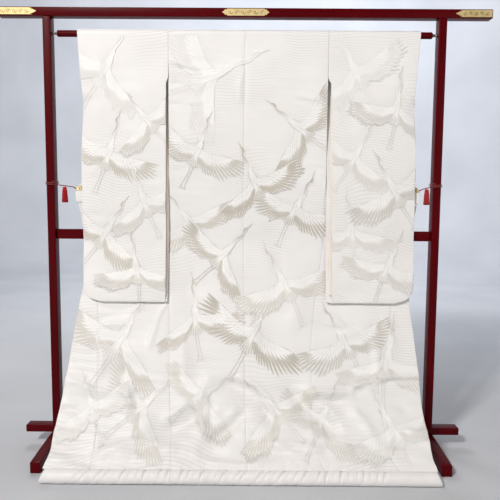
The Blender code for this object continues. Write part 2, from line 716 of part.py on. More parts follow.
def make_tassel(name, x, y, top):
    """A wound head with strands that grow out of its underside."""
    head_long, head_r = 0.013, 0.0055
    mesh = bpy.data.meshes.new(name)
    shape = bmesh.new()
    bmesh.ops.create_cone(shape, cap_ends=True, segments=8, radius1=head_r, radius2=head_r * 0.55,
                          depth=head_long)
    bottom = min(shape.faces, key=lambda f: f.calc_center_median().z)
    poked = bmesh.ops.poke(shape, faces=[bottom])["faces"]
    edges = list({edge for face in poked for edge in face.edges})
    bmesh.ops.subdivide_edges(shape, edges=edges, cuts=1, use_grid_fill=True)
    under = [f for f in shape.faces if f.normal.z < -0.9]
    bmesh.ops.inset_individual(shape, faces=under, thickness=0.0003)
    under = [f for f in under if f.is_valid]
    ends = bmesh.ops.extrude_discrete_faces(shape, faces=under)["faces"]
    for count, face in enumerate(ends):
        middle = face.calc_center_median()
        drop = TASSEL_LONG * (0.93 + 0.07 * math.sin(2.7 * count)) - head_long
        for vert in face.verts:
            vert.co.z -= drop
            vert.co.x += 0.45 * middle.x
            vert.co.y += 0.45 * middle.y
    for vert in shape.verts:
        vert.co.x += x
        vert.co.y += y
        vert.co.z += top - head_long / 2
    bmesh.ops.recalc_face_normals(shape, faces=shape.faces)
    shape.to_mesh(mesh)
    shape.free()
    return add_object(name, mesh, SILK_RED)


for old in list(bpy.data.objects):
    bpy.data.objects.remove(old, do_unlink=True)

COLLECTION = bpy.data.collections.new("uchikake_on_stand")
bpy.context.scene.collection.children.link(COLLECTION)
FRAME = bpy.data.objects.new("under_the_middle", None)
FRAME.location = (0.0, SHIFT_Y, 0.0)
COLLECTION.objects.link(FRAME)

make_stand()
make_brasses()
make_backs()
make_fronts()
make_collar()
make_sleeves()
make_roll()
make_ties()
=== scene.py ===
import bpy
import bmesh
import math
import random
import numpy as np
from mathutils import Matrix, Vector


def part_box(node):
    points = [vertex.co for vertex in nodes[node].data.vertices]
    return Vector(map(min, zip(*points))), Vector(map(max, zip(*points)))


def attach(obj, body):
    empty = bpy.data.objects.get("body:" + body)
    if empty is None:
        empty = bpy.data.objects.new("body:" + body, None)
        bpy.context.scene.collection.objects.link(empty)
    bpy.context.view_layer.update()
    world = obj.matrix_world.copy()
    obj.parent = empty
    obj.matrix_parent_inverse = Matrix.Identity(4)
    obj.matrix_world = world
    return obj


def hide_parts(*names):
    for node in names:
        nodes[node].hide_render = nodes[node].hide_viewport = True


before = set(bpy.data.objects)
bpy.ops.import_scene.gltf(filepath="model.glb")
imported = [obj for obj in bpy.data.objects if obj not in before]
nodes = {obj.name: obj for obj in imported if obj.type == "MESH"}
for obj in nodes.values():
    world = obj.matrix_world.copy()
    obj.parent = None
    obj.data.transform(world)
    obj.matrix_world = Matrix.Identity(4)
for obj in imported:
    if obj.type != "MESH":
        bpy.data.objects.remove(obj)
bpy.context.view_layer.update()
bpy.ops.object.select_all(action="DESELECT")
print("frame loaded:", len(nodes), "solids")

# small helpers
def linear(code):
    parts = [int(code[i:i + 2], 16) / 255 for i in (1, 3, 5)]
    return (*[p / 12.92 if p <= 0.04045 else ((p + 0.055) / 1.055) ** 2.4 for p in parts], 1.0)


def link(tree, node, links):
    # a source by itself stands for its first output
    for name, source in links.items():
        source, output = source if isinstance(source, tuple) else (source, 0)
        tree.links.new(source.outputs[output], node.inputs[name])


def addNode(tree, kind, settings=None, values=None, links=None):
    node = tree.nodes.new("ShaderNode" + kind)
    for name, value in (settings or {}).items():
        setattr(node, name, value)
    for name, value in (values or {}).items():
        node.inputs[name].default_value = value
    link(tree, node, links or {})
    return node


def newMaterial(name, **values):
    material = bpy.data.materials.new(name)
    material.use_nodes = True
    surface = material.node_tree.nodes["Principled BSDF"]
    for key, value in values.items():
        surface.inputs[key].default_value = value
    return material, material.node_tree, surface


def mottledMaterial(name, first, second, scale, **values):
    # two close tones of one finish, clouded at the given scale
    material, tree, surface = newMaterial(name, **values)
    place = addNode(tree, "TexCoord")
    tone = addNode(tree, "TexNoise", values={"Scale": scale}, links={"Vector": (place, "Object")})
    colour = addNode(tree, "Mix", {"data_type": "RGBA"}, {6: linear(first), 7: linear(second)}, {0: tone})
    link(tree, surface, {"Base Color": (colour, 2)})
    return material


def linkedPiece(name, mesh):
    piece = bpy.data.objects.new(name, mesh)
    bpy.context.collection.objects.link(piece)
    return piece


def spread(a, b, count):
    return [a + (b - a) * i / count for i in range(count + 1)]


def runAlong(path):
    # the length of a path up to each of its points
    return np.concatenate([[0], np.cumsum(np.linalg.norm(np.diff(path, axis=0), axis=1))])


def aheadOf(path):
    # the direction of a path at each of its points
    ahead = np.gradient(path, axis=0)
    return ahead / np.maximum(np.linalg.norm(ahead, axis=1), 1e-9)[:, None]


# the garment's measured form, as in the solid model: metres, counted outward from the middle
layerText = """
z      back     frontIn  sleeveFace sleeveRear
1.645  -0.0161   0.0161  -0.0161    0.0161
1.610  -0.0163   0.0155  -0.0163    0.0155
1.500  -0.0172   0.0100  -0.0172    0.0100
1.460  -0.0176   0.0080  -0.0178    0.0080
1.380  -0.0178   0.0030  -0.0205    0.0020
1.260  -0.0180  -0.0040  -0.0255   -0.0080
1.120  -0.0172  -0.0110  -0.0325   -0.0195
1.050  -0.0164  -0.0115  -0.0350   -0.0235
1.000  -0.0158  -0.0158  -0.0370   -0.0255
0.875  -0.0160  -0.0160  -0.0400   -0.0270
0.760  -0.0330  -0.0330  -0.0580   -0.0440
0.680  -0.0500  -0.0500  -0.0760   -0.0620
0.617  -0.0680  -0.0680  -0.0900   -0.0790
0.540  -0.0910  -0.0910  -0.1050   -0.1000
0.470  -0.1120  -0.1120  -0.1260   -0.1200
0.410  -0.1320  -0.1320  -0.1460   -0.1400
0.360  -0.1490  -0.1490  -0.1630   -0.1570
0.250  -0.1980  -0.1980  -0.2120   -0.2060
0.170  -0.2450  -0.2450  -0.2590   -0.2530
0.095  -0.3080  -0.3080  -0.3220   -0.3160
0.050  -0.3500  -0.3500  -0.3640   -0.3580
"""
seamText = """
z      middle  sideL   sideR   okumiL  okumiR  edgeL   edgeR
1.680   0.002  0.297   0.328   0.540   0.560   0.668   0.700
1.060  -0.002  0.297   0.328   0.547   0.570   0.668   0.700
0.950  -0.001  0.297   0.326   0.560   0.582   0.650   0.682
0.850   0.000  0.297   0.318   0.568   0.590   0.637   0.668
0.690   0.001  0.296   0.298   0.574   0.594   0.636   0.660
0.617   0.003  0.293   0.286   0.575   0.590   0.646   0.660
0.500   0.006  0.288   0.273   0.569   0.574   0.662   0.671
0.430   0.008  0.286   0.268   0.565   0.545   0.670   0.677
0.330   0.010  0.280   0.267   0.559   0.526   0.680   0.684
0.250   0.012  0.275   0.268   0.553   0.529   0.690   0.686
0.145   0.017  0.263   0.272   0.543   0.541   0.702   0.698
0.095   0.020  0.257   0.282   0.545   0.546   0.704   0.700
0.055   0.023  0.252   0.300   0.546   0.572   0.716   0.712
"""
pleatText = """
z      fold    inward  turned  front   okumi   collar
1.680  0.170   180     180     0.204   0.204   0.269
1.661  0.172   180     180     0.204   0.204   0.269
1.645  0.177   180     130     0.206   0.206   0.271
1.628  0.179   180      65     0.208   0.208   0.273
1.610  0.180   180      15     0.212   0.212   0.277
1.560  0.171   180       0     0.223   0.223   0.288
1.500  0.157   180       0     0.236   0.236   0.301
1.380  0.115   180       0     0.250   0.254   0.319
1.260  0.072   180       0     0.246   0.274   0.339
1.120  0.022   180       0     0.250   0.306   0.371
1.090  0.020   110    -3.8     0.253   0.312   0.377
1.050  0.020    45    -2.9     0.256   0.313   0.378
1.000  0.020     0       0     0.260   0.307   0.369
"""
sleeveText = """
z      innerL  innerR  outerL  outerR
1.680  0.2974  0.3284  0.652   0.686
1.500  0.2974  0.3284  0.641   0.674
1.460  0.2974  0.3284  0.637   0.671
1.430  0.3060  0.341   0.634   0.669
1.380  0.3060  0.342   0.632   0.669
1.200  0.3070  0.346   0.640   0.677
0.875  0.3070  0.351   0.635   0.676
0.690  0.3055  0.352   0.630   0.672
0.650  0.3050  0.352   0.621   0.663
0.630  0.3050  0.352   0.601   0.641
0.617  0.3050  0.352   0.556   0.595
"""
# each fold or crease: its two ends, half width across and height toward the viewer
foldText = """
x0      z0     x1      z1     wide   high
-0.690  0.320  -0.440  0.280  0.030   0.006
-0.640  0.262  -0.580  0.258  0.024  -0.004
 0.275  0.284   0.410  0.282  0.026   0.007
 0.275  0.262   0.400  0.255  0.026  -0.005
 0.440  0.305   0.500  0.318  0.024   0.005
 0.520  0.338   0.690  0.343  0.026   0.006
-0.130  0.310  -0.132  0.160  0.028   0.007
-0.310  0.145  -0.140  0.225  0.034  -0.007
-0.120  0.130   0.000  0.212  0.034  -0.006
-0.040  0.310   0.120  0.190  0.036  -0.008
 0.190  0.285   0.340  0.175  0.034  -0.007
 0.130  0.118   0.280  0.103  0.020   0.006
-0.140  0.090   0.150  0.092  0.018  -0.004
-0.510  0.092  -0.260  0.112  0.022   0.005
-0.690  0.110  -0.570  0.090  0.022  -0.005
 0.600  0.150   0.690  0.120  0.022   0.005
"""
creaseText = """
x0      z0     x1      z1     wide   high
-0.690  0.220  -0.613  0.211  0.011  -0.0030
-0.690  0.246  -0.630  0.240  0.012   0.0020
-0.672  0.322  -0.441  0.282  0.011   0.0030
-0.660  0.300  -0.450  0.262  0.013  -0.0025
-0.441  0.280  -0.411  0.238  0.012   0.0035
-0.420  0.270  -0.390  0.225  0.014  -0.0030
 0.273  0.284   0.400  0.284  0.010   0.0030
 0.273  0.266   0.390  0.264  0.013  -0.0040
 0.428  0.304   0.490  0.318  0.010   0.0030
 0.425  0.290   0.480  0.300  0.012  -0.0025
 0.538  0.340   0.681  0.344  0.009   0.0028
 0.536  0.318   0.679  0.322  0.011  -0.0030
-0.150  0.298  -0.144  0.161  0.010   0.0045
-0.126  0.290  -0.122  0.170  0.014  -0.0035
-0.168  0.260  -0.164  0.180  0.012  -0.0020
-0.311  0.151  -0.150  0.217  0.018  -0.0040
-0.300  0.178  -0.170  0.238  0.016   0.0030
-0.127  0.127   0.002  0.209  0.017  -0.0040
-0.105  0.158  -0.005  0.232  0.015   0.0028
-0.046  0.316   0.074  0.255  0.015  -0.0040
 0.074  0.255   0.127  0.191  0.015  -0.0045
-0.030  0.338   0.095  0.272  0.013   0.0034
 0.095  0.272   0.152  0.200  0.013   0.0030
 0.191  0.276   0.352  0.167  0.018  -0.0040
 0.215  0.292   0.372  0.186  0.015   0.0030
 0.140  0.117   0.272  0.101  0.010   0.0045
 0.150  0.103   0.280  0.088  0.011  -0.0035
 0.000  0.096   0.268  0.097  0.010  -0.0020
-0.149  0.083   0.195  0.092  0.009   0.0028
-0.516  0.090  -0.262  0.114  0.014   0.0034
-0.430  0.112  -0.230  0.138  0.014  -0.0028
-0.665  0.097  -0.527  0.060  0.013  -0.0040
-0.690  0.078  -0.560  0.075  0.011   0.0030
 0.614  0.166   0.688  0.161  0.010   0.0026
 0.618  0.123   0.690  0.115  0.010  -0.0026
 0.619  0.087   0.691  0.085  0.010   0.0026
 0.340  0.130   0.520  0.112  0.013   0.0030
 0.360  0.108   0.540  0.088  0.012  -0.0028
-0.578  0.599  -0.447  0.588  0.010  -0.0028
-0.564  0.549  -0.446  0.565  0.009  -0.0020
-0.546  0.523  -0.452  0.524  0.010   0.0020
-0.412  0.612  -0.407  0.577  0.006   0.0022
-0.400  0.612  -0.396  0.580  0.006   0.0018
-0.300  0.612  -0.343  0.520  0.008   0.0024
-0.343  0.520  -0.365  0.440  0.012   0.0020
 0.280  0.600   0.400  0.520  0.012   0.0026
 0.270  0.545   0.410  0.515  0.011  -0.0028
 0.300  0.590   0.470  0.500  0.014  -0.0020
 0.560  0.560   0.600  0.440  0.014   0.0026
 0.530  0.480   0.535  0.350  0.014   0.0030
-0.560  0.450  -0.555  0.330  0.016   0.0026
-0.290  1.560  -0.160  1.530  0.011   0.0022
-0.290  1.540  -0.200  1.522  0.011  -0.0020
-0.290  1.470  -0.240  1.468  0.008  -0.0018
-0.290  1.410  -0.170  1.400  0.010   0.0020
-0.290  1.390  -0.190  1.384  0.010  -0.0018
 0.199  1.428   0.322  1.410  0.009   0.0022
 0.205  1.412   0.322  1.394  0.009  -0.0020
 0.230  1.395   0.322  1.385  0.008   0.0016
 0.301  1.137   0.326  1.118  0.007   0.0018
 0.255  1.165   0.325  1.150  0.009   0.0014
 0.002  1.560  -0.001  1.380  0.009  -0.0014
-0.010  1.500  -0.012  1.400  0.012   0.0018
-0.290  1.240  -0.215  1.228  0.010   0.0014
-0.290  1.130  -0.225  1.142  0.010  -0.0014
-0.060  0.860  -0.070  0.660  0.030   0.0025
 0.120  0.880   0.135  0.660  0.034  -0.0025
-0.200  0.760  -0.190  0.560  0.030  -0.0025
 0.215  0.700   0.200  0.520  0.030   0.0028
 0.020  0.600   0.060  0.430  0.030   0.0030
-0.230  0.480  -0.215  0.340  0.026   0.0030
-0.500  0.420  -0.300  0.380  0.030   0.0026
-0.480  0.200  -0.330  0.180  0.026   0.0034
 0.410  0.240   0.500  0.140  0.022   0.0034
 0.560  0.260   0.640  0.220  0.018  -0.0026
"""
sleeveCreaseText = """
x0      z0     x1      z1     wide   high
-0.639  1.650  -0.563  1.557  0.010   0.0024
-0.563  1.557  -0.560  1.490  0.010   0.0022
-0.620  1.620  -0.590  1.570  0.012  -0.0018
-0.640  1.240  -0.560  1.230  0.010  -0.0018
-0.640  1.120  -0.585  1.128  0.009   0.0018
-0.640  0.960  -0.560  0.950  0.012  -0.0020
-0.600  0.700  -0.380  0.690  0.022   0.0026
-0.560  0.662  -0.340  0.655  0.018  -0.0020
-0.420  1.500  -0.400  1.180  0.040   0.0030
-0.500  1.050  -0.470  0.800  0.040  -0.0030
 0.400  1.520   0.430  1.200  0.040  -0.0026
 0.560  1.150   0.540  0.820  0.040   0.0030
 0.640  1.480   0.672  1.380  0.014   0.0020
 0.600  1.260   0.676  1.270  0.011  -0.0020
 0.610  1.010   0.676  1.000  0.012   0.0022
 0.590  0.790   0.670  0.770  0.016  -0.0024
 0.400  0.700   0.640  0.704  0.024   0.0030
 0.380  0.662   0.600  0.660  0.018  -0.0022
"""


def readTable(text):
    lines = [line.split() for line in text.strip().splitlines()]
    return {name: np.array([float(line[i]) for line in lines[1:]]) for i, name in enumerate(lines[0])}


layers, seams, pleat = readTable(layerText), readTable(seamText), readTable(pleatText)
sleeveEdges = readTable(sleeveText)
folds, creases, sleeveCreases = readTable(foldText), readTable(creaseText), readTable(sleeveCreaseText)

garment = {"wall": 0.0016, "liningWall": 0.0010, "gap": 0.0003, "collarWall": 0.0024, "seam": 0.0002,
           "rodRadius": 0.013, "rodHeight": 1.661, "wrap": 0.0159, "shift": 0.04845, "hemSeam": 0.0500,
           "armhole": 1.46, "cuff": 1.43, "collarEnd": 1.003, "overlapTop": 1.38, "pleatEnd": 1.0,
           "turn": 0.0126, "clipHeight": 1.060, "sleeveEnd": 0.617, "topSlack": 0.001}
# how strongly the sheet is folded, creased and gathered
drape = {"folds": 1.55, "creases": 1.2, "lowCreases": 1.1, "swell": 0.0011, "ripple": 0.00035, "lowRipple": 0.0013,
         "pucker": 0.0029, "puckerReach": 0.030, "lean": 0.55}
liningOut = -(garment["wall"] / 2 + garment["gap"] + garment["liningWall"] / 2)


def read(table, column, z):
    # a column at the heights z, on smooth runs that never overshoot the rows
    zs, vs = table["z"][::-1], table[column][::-1]
    z = np.clip(np.asarray(z, float), zs[0], zs[-1])
    h = np.diff(zs)
    d = np.diff(vs) / h
    m = np.zeros(len(zs))
    m[0], m[-1] = d[0], d[-1]
    for i in range(1, len(zs) - 1):
        if d[i - 1] * d[i] > 0:
            a, b = 2 * h[i] + h[i - 1], h[i] + 2 * h[i - 1]
            m[i] = (a + b) / (a / d[i - 1] + b / d[i])
    i = np.clip(np.searchsorted(zs, z) - 1, 0, len(h) - 1)
    t = (z - zs[i]) / h[i]
    return (vs[i] * (2 * t ** 3 - 3 * t ** 2 + 1) + h[i] * m[i] * (t ** 3 - 2 * t ** 2 + t)
            + vs[i + 1] * (3 * t ** 2 - 2 * t ** 3) + h[i] * m[i + 1] * (t ** 3 - t ** 2))


def foldSum(table, x, z):
    total = np.zeros(np.broadcast(x, z).shape)
    for i in range(len(table["wide"])):
        ax, az = table["x0"][i], table["z0"][i]
        dx, dz = table["x1"][i] - ax, table["z1"][i] - az
        t = np.clip(((x - ax) * dx + (z - az) * dz) / (dx * dx + dz * dz), 0, 1)
        away = np.hypot(x - ax - t * dx, z - az - t * dz) / table["wide"][i]
        total = total + table["high"][i] * np.exp(-away * away)
    return total


def creaseSum(table, x, z):
    # slim creases that bow a little and fade out at both ends
    total = np.zeros(np.broadcast(x, z).shape)
    for i in range(len(table["wide"])):
        ax, az = table["x0"][i], table["z0"][i]
        dx, dz = table["x1"][i] - ax, table["z1"][i] - az
        long = math.hypot(dx, dz)
        t = ((x - ax) * dx + (z - az) * dz) / (long * long)
        bow = long * 0.09 * math.sin(2.4 * i + 1) * (1 - (2 * np.clip(t, -0.3, 1.3) - 1) ** 2)
        wide = table["wide"][i] * (1.06 + 0.22 * math.sin(1.7 * i))
        away = (((x - ax) * dz - (z - az) * dx) / long + bow) / wide
        ends = np.maximum(0, np.abs(t - 0.5) - 0.22) / 0.30
        total = total + 1.15 * table["high"][i] * np.exp(-away * away - ends * ends)
    return total


def billow(x, z, size, seed, stretch=1.0):
    # soft uneven swell, about 1 high, from a few crossed waves
    dice = random.Random(seed)
    total = 0.0
    for _ in range(9):
        turn = dice.uniform(0, 2 * math.pi)
        pace = 2 * math.pi / (size * dice.uniform(0.6, 1.7))
        total = total + np.sin(pace * (x * math.cos(turn) / stretch + z * math.sin(turn)) + dice.uniform(0, 6.3))
    return total / 3.0


def letter(side):
    return "L" if side < 0 else "R"


def gatherPlaces():
    places, x, count = [], -0.590, 0
    while x < 0.575:
        places.append(x)
        x += 0.0262 * (1.0 + 0.16 * math.sin(1.9 * count) + 0.08 * math.sin(5.3 * count))
        count += 1
    return places


gathers = np.array(gatherPlaces())


def gatherDip(x, wide=0.0045):
    # 1 in each gather's dip, which lies midway between two ridges
    dips = (gathers[1:] + gathers[:-1]) / 2
    away = (np.asarray(x)[..., None] - dips) / wide
    depth = 0.55 + 0.45 * np.sin(np.arange(len(dips)) * 2.3)
    return (depth * np.exp(-away * away)).sum(-1)


def seamDip(x, z, deep=0.0009, wide=0.0045):
    total = 0.0
    for column, sign in (("middle", 1), ("sideL", -1), ("sideR", 1), ("okumiL", -1), ("okumiR", 1)):
        away = (x - sign * read(seams, column, z)) / wide
        low = column.startswith("okumi")
        total = total + deep * np.exp(-away * away) * (np.where(z < 0.99, 1.0, 0.0) if low else 1.0)
    return total


def bodyHeight(x, z):
    # folds, creases, swell and seams of the spread sheet, toward the viewer
    above = z - garment["hemSeam"]
    grow = np.clip(above / 0.03, 0, 1)
    total = drape["folds"] * foldSum(folds, x, z) * grow
    sharper = drape["creases"] + drape["lowCreases"] * np.clip((0.62 - z) / 0.10, 0, 1)
    total = total + sharper * creaseSum(creases, x, z) * np.clip(above / 0.012, 0, 1)
    total = total + drape["swell"] * billow(x, z, 0.16, 3) * grow
    lower = np.clip((0.50 - z) / 0.25, 0, 1)
    total = total + (drape["ripple"] + drape["lowRipple"] * lower) * billow(x, z, 0.050, 8, 2.4) * grow
    puckered = np.exp(-above / drape["puckerReach"]) * np.clip(above / 0.004, 0.3, 1)
    total = total - drape["pucker"] * gatherDip(x - drape["lean"] * above, 0.0080) * puckered
    return total - seamDip(x, z)


def bodyPoint(x, t, out=0.0):
    # t is the height, and runs on over the rod from its middle height up
    x, t = np.broadcast_arrays(np.asarray(x, float), np.asarray(t, float))
    z = np.minimum(t, garment["rodHeight"])
    rise = np.where(z < 0.96, (read(layers, "back", z + 0.01) - read(layers, "back", z - 0.01)) / 0.02, 0.0)
    length = np.hypot(1.0, rise)
    high = out + bodyHeight(x, z)
    angle = np.maximum(t - garment["rodHeight"], 0) / garment["wrap"]
    fade = np.clip((t - 1.60) / 0.06, 0, 1)
    radius = garment["wrap"] + out + (high - out) * (1 - fade)
    over = t > garment["rodHeight"]
    high = out + (high - out) * (1 - fade)
    y = np.where(over, -radius * np.cos(angle), read(layers, "back", z) - high / length)
    zz = np.where(over, garment["rodHeight"] + radius * np.sin(angle), z + high * rise / length)
    return np.stack([x, y + garment["shift"], zz], -1)


def frontPoint(side, z, along, out=0.0):
    # a front above the clips, by the cloth measured from its side edge
    z, along = np.broadcast_arrays(np.asarray(z, float), np.asarray(along, float))
    first, last = np.radians(read(pleat, "inward", z)), np.radians(read(pleat, "turned", z))
    fold, turn = read(pleat, "fold", z), garment["turn"]
    reach = np.minimum(along, fold)
    part = np.clip((along - fold) / turn, 0, 1)
    heading = first + (last - first) * part
    bend = np.where(np.abs(first - last) > 0.01, first - last, 1.0)
    straight = np.abs(first - last) <= 0.01
    across = reach * np.cos(first) + np.where(straight, part * turn * np.cos(first),
                                              turn / bend * (np.sin(first) - np.sin(heading)))
    back = reach * np.sin(first) + np.where(straight, part * turn * np.sin(first),
                                            turn / bend * (np.cos(heading) - np.cos(first)))
    rest = np.maximum(0, along - fold - turn)
    across = across + rest * np.cos(heading) + out * np.sin(heading)
    back = back + rest * np.sin(heading) - out * np.cos(heading)
    edge = read(seams, "side" + letter(side), z)
    x = side * (edge + garment["seam"] + 0.0012 * np.sin(first) + across)
    return np.stack([x, read(layers, "frontIn", z) + back + garment["shift"], z], -1)


def spreadPoint(side, z, along, out=0.0):
    # any height under the rod: the folded front above, the flat sheet below
    z, along = np.broadcast_arrays(np.asarray(z, float), np.asarray(along, float))
    upper = frontPoint(side, z, along, out)
    edge = read(seams, "side" + letter(side), z) + garment["seam"]
    lower = bodyPoint(side * (edge + along), z, out)
    blend = np.clip((z - 0.985) / 0.03, 0, 1)[..., None]
    return upper * blend + lower * (1 - blend)


def sleeveInner(side, z, rear):
    # the inner edge; below the armhole the rear layer starts at the body's side seam
    inner = read(sleeveEdges, "inner" + letter(side), z)
    if not rear:
        return inner
    return np.where(z < garment["armhole"], read(seams, "side" + letter(side), 1.2) + garment["topSlack"], inner)


def sleevePoint(side, share, t, out=0.0):
    # t is the height up the face, then the way over the rod, then down the rear layer
    share, t = np.broadcast_arrays(np.asarray(share, float), np.asarray(t, float))
    top, arc, wrap = garment["rodHeight"], math.pi * garment["wrap"], garment["wrap"]
    rear = t > top + arc / 2
    z = np.where(t <= top, t, np.where(t >= top + arc, 2 * top + arc - t, top))
    mark = letter(side)
    inner = np.where(rear, sleeveInner(side, z, True), sleeveInner(side, z, False))
    slit = np.clip((1.497 - z) / 0.03, 0, 1) * (z > garment["cuff"])
    slit = slit * slit * (3 - 2 * slit)
    inner = np.where(rear, inner, inner + (read(sleeveEdges, "inner" + mark, garment["cuff"]) - inner) * slit)
    outer = read(sleeveEdges, "outer" + mark, z)
    face, back = read(layers, "sleeveFace", z), read(layers, "sleeveRear", z)
    step = np.clip(read(layers, "back", z) - face - garment["wall"], 0, 0.02) * np.clip((z - 1.49) / 0.02, 0, 1)
    inner = inner - np.where(rear, 0, np.minimum(0.0045, 0.35 * step))
    middle, half = (face + back) / 2, (back - face) / 2
    near = np.clip((share - 0.80) / 0.20, 0, 1) ** 2 * np.clip((garment["cuff"] - z) / 0.04, 0, 1)
    low = np.clip((0.662 - z) / 0.045, 0, 1) ** 2
    closed = 1 - (1 - near) * (1 - low)
    half = half + (garment["wall"] / 2 + 0.0001 - half) * closed
    x = side * (inner + (outer - inner) * share)
    shiftZ = np.where(rear, z + 0.06, z)
    high = (creaseSum(sleeveCreases, x, shiftZ) + 0.0014 * billow(x, shiftZ, 0.20, 11 + side)
            + 0.0004 * billow(x, shiftZ, 0.055, 17 + side, 2.0)) * (1 - closed)
    high = high * np.clip((1.63 - z) / 0.08, 0, 1) + out
    angle = np.clip((t - top) / wrap, 0, math.pi)
    over = (t > top) & (t < top + arc)
    y = np.where(over, -(wrap + out) * np.cos(angle), middle + np.where(rear, 1, -1) * (half + high))
    z = np.where(over, top + (wrap + out) * np.sin(angle), z)
    return np.stack([x, y + garment["shift"], z], -1)


def waterField(u, v, seed):
    # a smooth field whose evenly spaced contours run like flowing water over low hills
    dice = random.Random(seed)
    field = v + 0.006 * billow(u, v, 0.60, seed + 1)
    for i in range(-4, 5):
        for j in range(-1, 9):
            cx = 0.25 * (i + 0.5 * (j % 2)) + dice.uniform(-0.06, 0.06)
            cz = 0.22 * j + dice.uniform(-0.05, 0.05)
            wide, high = dice.uniform(0.085, 0.125), dice.uniform(0.040, 0.065)
            field = field - high * np.exp(-((u - cx) / wide) ** 2 - ((v - cz) / (1.25 * wide)) ** 2)
    return field


def gridPiece(name, points, uv, material, wall=0.0, closedRound=False, water=None):
    rows, cols = points.shape[:2]
    index = np.arange(rows * cols).reshape(rows, cols)
    if closedRound:
        index = np.concatenate([index, index[:, :1]], 1)
        wholeRound = uv[0, -1, 1] - uv[0, 0, 1] + uv[0, 1, 1] - uv[0, 0, 1]
        uv = np.concatenate([uv, uv[:, :1] + [0, wholeRound]], 1)
    quads = np.stack([index[:-1, :-1], index[:-1, 1:], index[1:, 1:], index[1:, :-1]], -1).reshape(-1, 4)
    place = np.arange(index.size).reshape(index.shape)
    corner = np.stack([place[:-1, :-1], place[:-1, 1:], place[1:, 1:], place[1:, :-1]], -1).reshape(-1)
    faces = quads.tolist()
    flatUv = uv.reshape(-1, 2)[corner]
    if closedRound:
        faces += [index[0, :-1][::-1].tolist(), index[-1, :-1].tolist()]
        flatUv = np.concatenate([flatUv, uv[0, :-1][::-1], uv[-1, :-1]])
    mesh = bpy.data.meshes.new(name)
    mesh.from_pydata(points.reshape(-1, 3).tolist(), [], faces)
    mesh.uv_layers.new(name="UVMap").data.foreach_set("uv", flatUv.astype(np.float32).ravel())
    if water is not None:
        field = mesh.attributes.new("water", "FLOAT", "POINT")
        field.data.foreach_set("value", water.astype(np.float32).ravel())
    mesh.materials.append(material)
    mesh.shade_smooth()
    piece = linkedPiece(name, mesh)
    if wall:
        thick = piece.modifiers.new("Wall", "SOLIDIFY")
        thick.thickness, thick.offset, thick.use_even_offset = wall, 0.0, False
    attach(piece, "root")
    return piece


def shares(width, step, near=(0.0015, 0.0045)):
    # even steps across a panel, with closer ones beside its seams
    count = max(4, int(round((width - 2 * near[-1]) / step)))
    return np.array([0.0, *near[:-1], *spread(near[-1], width - near[-1], count),
                     *[width - a for a in reversed(near[:-1])], width]) / width


def heights(low, high, coarse=0.0055, fine=0.0042, change=0.40):
    lower = np.arange(low, min(change, high), fine) if low < change else np.array([])
    start = max(low, change)
    upper = np.linspace(start, high, max(2, int((high - start) / coarse) + 1))
    rows = np.unique(np.concatenate([lower, upper, [low, high]]))
    return rows[np.concatenate([[True], np.diff(rows) > 0.001])][::-1]


# white silk satin brocade, jacquard woven: a soft long-float sheen, fine water lines and cloudy tone
brocade = {"ground": "#F4F3F0", "shadeSide": "#E9E7E4", "lineTint": "#DAD8D3", "rough": 0.41, "sheen": 0.10,
           "lineGap": 0.0112, "lineBump": 0.25, "weave": 0.0011}


def brocadeMaterial(name, ground, lines=1.0):
    material, tree, surface = newMaterial(name, **{"Sheen Weight": brocade["sheen"], "Sheen Roughness": 0.35,
                                                   "Specular IOR Level": 0.30})
    uv = addNode(tree, "UVMap", {"uv_map": "UVMap"})
    cloud = addNode(tree, "TexNoise", values={"Scale": 5.5, "Detail": 3.0}, links={"Vector": uv})
    tone = addNode(tree, "Mix", {"data_type": "RGBA"},
                   {6: linear(ground), 7: linear(brocade["shadeSide"])}, {0: cloud})
    flow = addNode(tree, "Attribute", {"attribute_name": "water"})
    pace = addNode(tree, "Math", {"operation": "MULTIPLY"}, {1: 2 * math.pi / brocade["lineGap"]}, {0: (flow, "Fac")})
    wave = addNode(tree, "Math", {"operation": "SINE"}, links={0: pace})
    line = addNode(tree, "MapRange", {"interpolation_type": "SMOOTHSTEP"},
                   {"From Min": 0.45, "From Max": 0.97}, {"Value": wave})
    patch = addNode(tree, "TexNoise", values={"Scale": 3.3, "Detail": 1.0}, links={"Vector": uv})
    where = addNode(tree, "MapRange", {"interpolation_type": "SMOOTHSTEP"},
                    {"From Min": 0.40, "From Max": 0.62, "To Min": 0.04 * lines, "To Max": 0.66 * lines},
                    {"Value": patch})
    drawn = addNode(tree, "Math", {"operation": "MULTIPLY"}, links={0: line, 1: where})
    colour = addNode(tree, "Mix", {"data_type": "RGBA"}, {7: linear(brocade["lineTint"])},
                     {0: drawn, 6: (tone, 2)})
    # the weft floats are about 0.2 mm wide; drawn at 1.1 mm so that they show
    fine = addNode(tree, "Mapping", values={"Scale": (1 / brocade["weave"], 2.5 / brocade["weave"], 1)},
                   links={"Vector": uv})
    thread = addNode(tree, "TexNoise", values={"Scale": 1.0, "Detail": 1.0}, links={"Vector": fine})
    lift = addNode(tree, "Math", {"operation": "MULTIPLY_ADD"}, {1: 0.16},
                   {0: thread, 2: drawn})
    bump = addNode(tree, "Bump", values={"Strength": brocade["lineBump"], "Distance": 0.0008},
                   links={"Height": lift})
    gloss = addNode(tree, "MapRange", values={"To Min": brocade["rough"] - 0.05, "To Max": brocade["rough"] + 0.10},
                    links={"Value": cloud})
    link(tree, surface, {"Base Color": (colour, 2), "Normal": bump, "Roughness": gloss})
    return material


